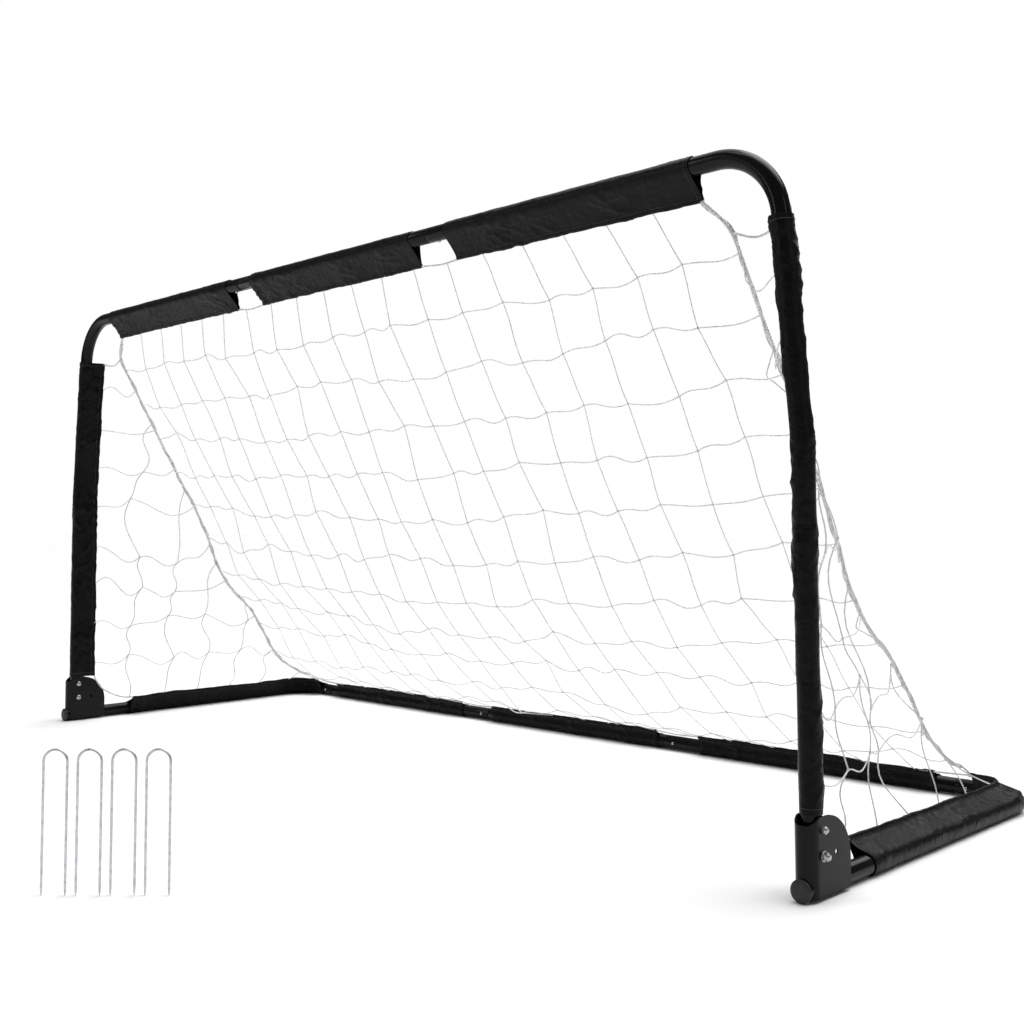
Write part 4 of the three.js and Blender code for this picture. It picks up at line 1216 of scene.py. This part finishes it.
def build_side_net(side, sign):
    """Triangle of net between the post's hem, the side rail's hem and the seam."""
    post_hem_x = FLAP * math.sin(POST_SWING) - 0.002
    hem_y = POST_Y + FLAP * math.cos(POST_SWING) - 0.003
    rail_hem = (POST_X - FLAP * math.sin(SIDE_LEAN) + 0.002,
                RAIL_Z + FLAP * math.cos(SIDE_LEAN) - 0.002)
    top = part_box("post_sleeve_right")[1][2] - 0.03
    low = rail_hem[1]
    levels = np.arange(low + MESH, top, MESH)

    def seam_at_height(z):
        order = np.argsort(SEAM[:, 2])
        return np.array([np.interp(z, SEAM[order, 2], SEAM[order, k]) for k in range(3)])

    def post_at_height(z):
        return np.array([post_axis(z)[0] - post_hem_x, hem_y, z])

    parts, knots = [], []
    uprights = np.arange(hem_y + MESH, SEAM[-1][1], MESH)
    grid = {}
    for j, z in enumerate(levels):
        start, end = post_at_height(z), seam_at_height(z)
        row = [start]
        for i, y in enumerate(uprights):
            if y < end[1] - 0.03:
                t = (y - start[1]) / (end[1] - start[1])
                place = start + (end - start) * t + RNG.normal(0, 1, 3) * [0.008, 0.014, 0.017]
                place[0] += 0.010 * math.sin(math.pi * t)
                grid[i, j] = place
                row.append(place)
                knots.append(place)
        row.append(end)
        parts.append(strand(np.array(row), 0.22, 9))
    for i, y in enumerate(uprights):
        column = [np.array([rail_hem[0], y, low])]
        column += [grid[i, j] for j in range(len(levels)) if (i, j) in grid]
        order = np.argsort(SEAM[:, 1])
        top_z = np.interp(y, SEAM[order, 1], SEAM[order, 2])
        end = seam_at_height(top_z)
        if end[2] - column[-1][2] > 0.02:
            column.append(end)
        if len(column) > 1:
            parts.append(strand(np.array(column), 0.18, 9, BACK))
    parts += [knot(p) for p in knots]
    points, faces = gather(parts)
    net = make(f"net_side_{side}_form", (points * [sign, 1, 1], faces), TWINE, 60)
    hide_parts(f"net_side_{side}")
    bend_net(net)


def gathered(line):
    """Edge meshes bunched on a rope: loose turns of twine that wander round it."""
    parts = []
    for _ in range(3):
        run = np.arange(len(line))
        turn = np.cumsum(RNG.uniform(0.1, 0.75, len(line)))
        reach = SEAM_R * (1.15 + 0.35 * np.sin(run * RNG.uniform(0.2, 0.5)))
        along = unit(np.gradient(line, axis=0))
        side = unit(np.cross(along, RIGHT))
        offset = np.cos(turn)[:, None] * side + np.sin(turn)[:, None] * np.cross(along, side)
        parts.append(rod(smooth_curve(line + offset * reach[:, None], 3 * len(line)),
                         TWINE_R * 0.8, 5))
    return parts


def build_ropes():
    """Hem ropes, seam ropes with their forks, and the ties at the posts' feet."""
    ends = [SEAM[0] * [sign, 1, 1] for sign in (1, -1)]
    way = np.concatenate([ends[:1], TOP_LINE, ends[1:]])
    top = make("net_rope_top_form", gather(laid_rope(way, ROPE_R * 0.8)), TWINE, 60)
    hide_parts("net_rope_top")
    bend_net(top)

    ends = [SEAM[-1] * [sign, 1, 1] for sign in (1, -1)]
    way = np.concatenate([ends[:1], REAR_LINE, ends[1:]])
    rope = make("net_rope_rear_form", gather(laid_rope(way, ROPE_R * 0.8)), TWINE, 60)
    finish_piece(rope, "ground_frame", "net_twine", "net_rope_rear")

    post_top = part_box("post_sleeve_right")[1][2]
    hem_in, hem_back = FLAP * math.sin(POST_SWING), FLAP * math.cos(POST_SWING)
    post_corner = np.array([post_axis(post_top)[0] - hem_in + 0.002, POST_Y + hem_back - 0.003,
                            post_top - 0.004])
    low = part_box("post_sleeve_right")[0][2]
    foot = np.array([POST_X - hem_in + 0.002, POST_Y + hem_back - 0.003, low + 0.006])
    rail_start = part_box("side_sleeve_right")[0][1]
    rail_corner = np.array([POST_X - FLAP * math.sin(SIDE_LEAN) + 0.003, rail_start + 0.006,
                            RAIL_Z + FLAP * math.cos(SIDE_LEAN) - 0.003])
    fork = SEAM[9]
    loops = [(SEAM[34], SEAM[45], 0.020), (SEAM[96], SEAM[105], 0.016)]
    for side, sign in (("right", 1), ("left", -1)):
        parts = laid_rope(SEAM[::8], SEAM_R, 0.016)
        parts += gathered(SEAM)
        parts += laid_rope([fork, fork * 0.5 + post_corner * 0.5 + [0, 0.004, -0.010],
                            post_corner], ROPE_R * 0.9, 0.012)
        parts += laid_rope([foot, foot + [0.004, 0.012, -0.02], foot + [0.010, 0.035, -0.045],
                            rail_corner + [0.010, -0.035, 0.004], rail_corner],
                           ROPE_R * 0.8, 0.012)
        for start, end, bulge in loops:
            mid = (start + end) / 2 + np.array([-bulge, -bulge * 0.6, -bulge * 0.2])
            parts.append(rod(smooth_curve([start, mid + (start - mid) * 0.35 + [0, 0, 0.004], mid,
                                           mid + (end - mid) * 0.35, end], 30), TWINE_R, 6))
        points, faces = gather(parts)
        seam = make(f"net_seam_rope_{side}_form", (points * [sign, 1, 1], faces), TWINE, 60)
        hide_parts(f"net_seam_rope_{side}")
        bend_net(seam)


build_back_net()
build_side_net("right", 1)
build_side_net("left", -1)
build_ropes()


# ---- ground pegs -----------------------------------------------------------------------
def build_pegs():
    """Hairpins of galvanised wire with pointed legs, standing in a row."""
    for k in range(1, 5):
        node = f"ground_peg_{k}"
        low, high = (np.array(p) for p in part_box(node))
        wire = 0.00175
        points = np.array([v.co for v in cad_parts[node].data.vertices], float)
        first = points[points[:, 0].argmin()]
        last = points[points[:, 0].argmax()]
        heading = unit(np.array([last[0] - first[0], last[1] - first[1], 0]))
        centre = (low + high) / 2
        half = np.linalg.norm((high - low)[:2]) / 2
        half = half - wire * 1.25
        neck = high[2] - wire - half
        leg = [centre * [1, 1, 0] + heading * half + UP * z for z in (0, 0.004, 0.009)]
        arch = [centre * [1, 1, 0] + heading * half * math.cos(a) + UP * (neck + half * math.sin(a))
                for a in np.linspace(0, np.pi, 40)]
        other = [centre * [1, 1, 0] - heading * half + UP * z for z in (0.009, 0.004, 0)]
        radii = [0.0004, 0.0012, wire] + [wire] * 40 + [wire, 0.0012, 0.0004]
        peg = make(f"{node}_form", rod(np.array(leg + arch + other), radii, 20), PEG, 60)
        finish_piece(peg, "ground_frame", "peg_steel", node)


build_pegs()
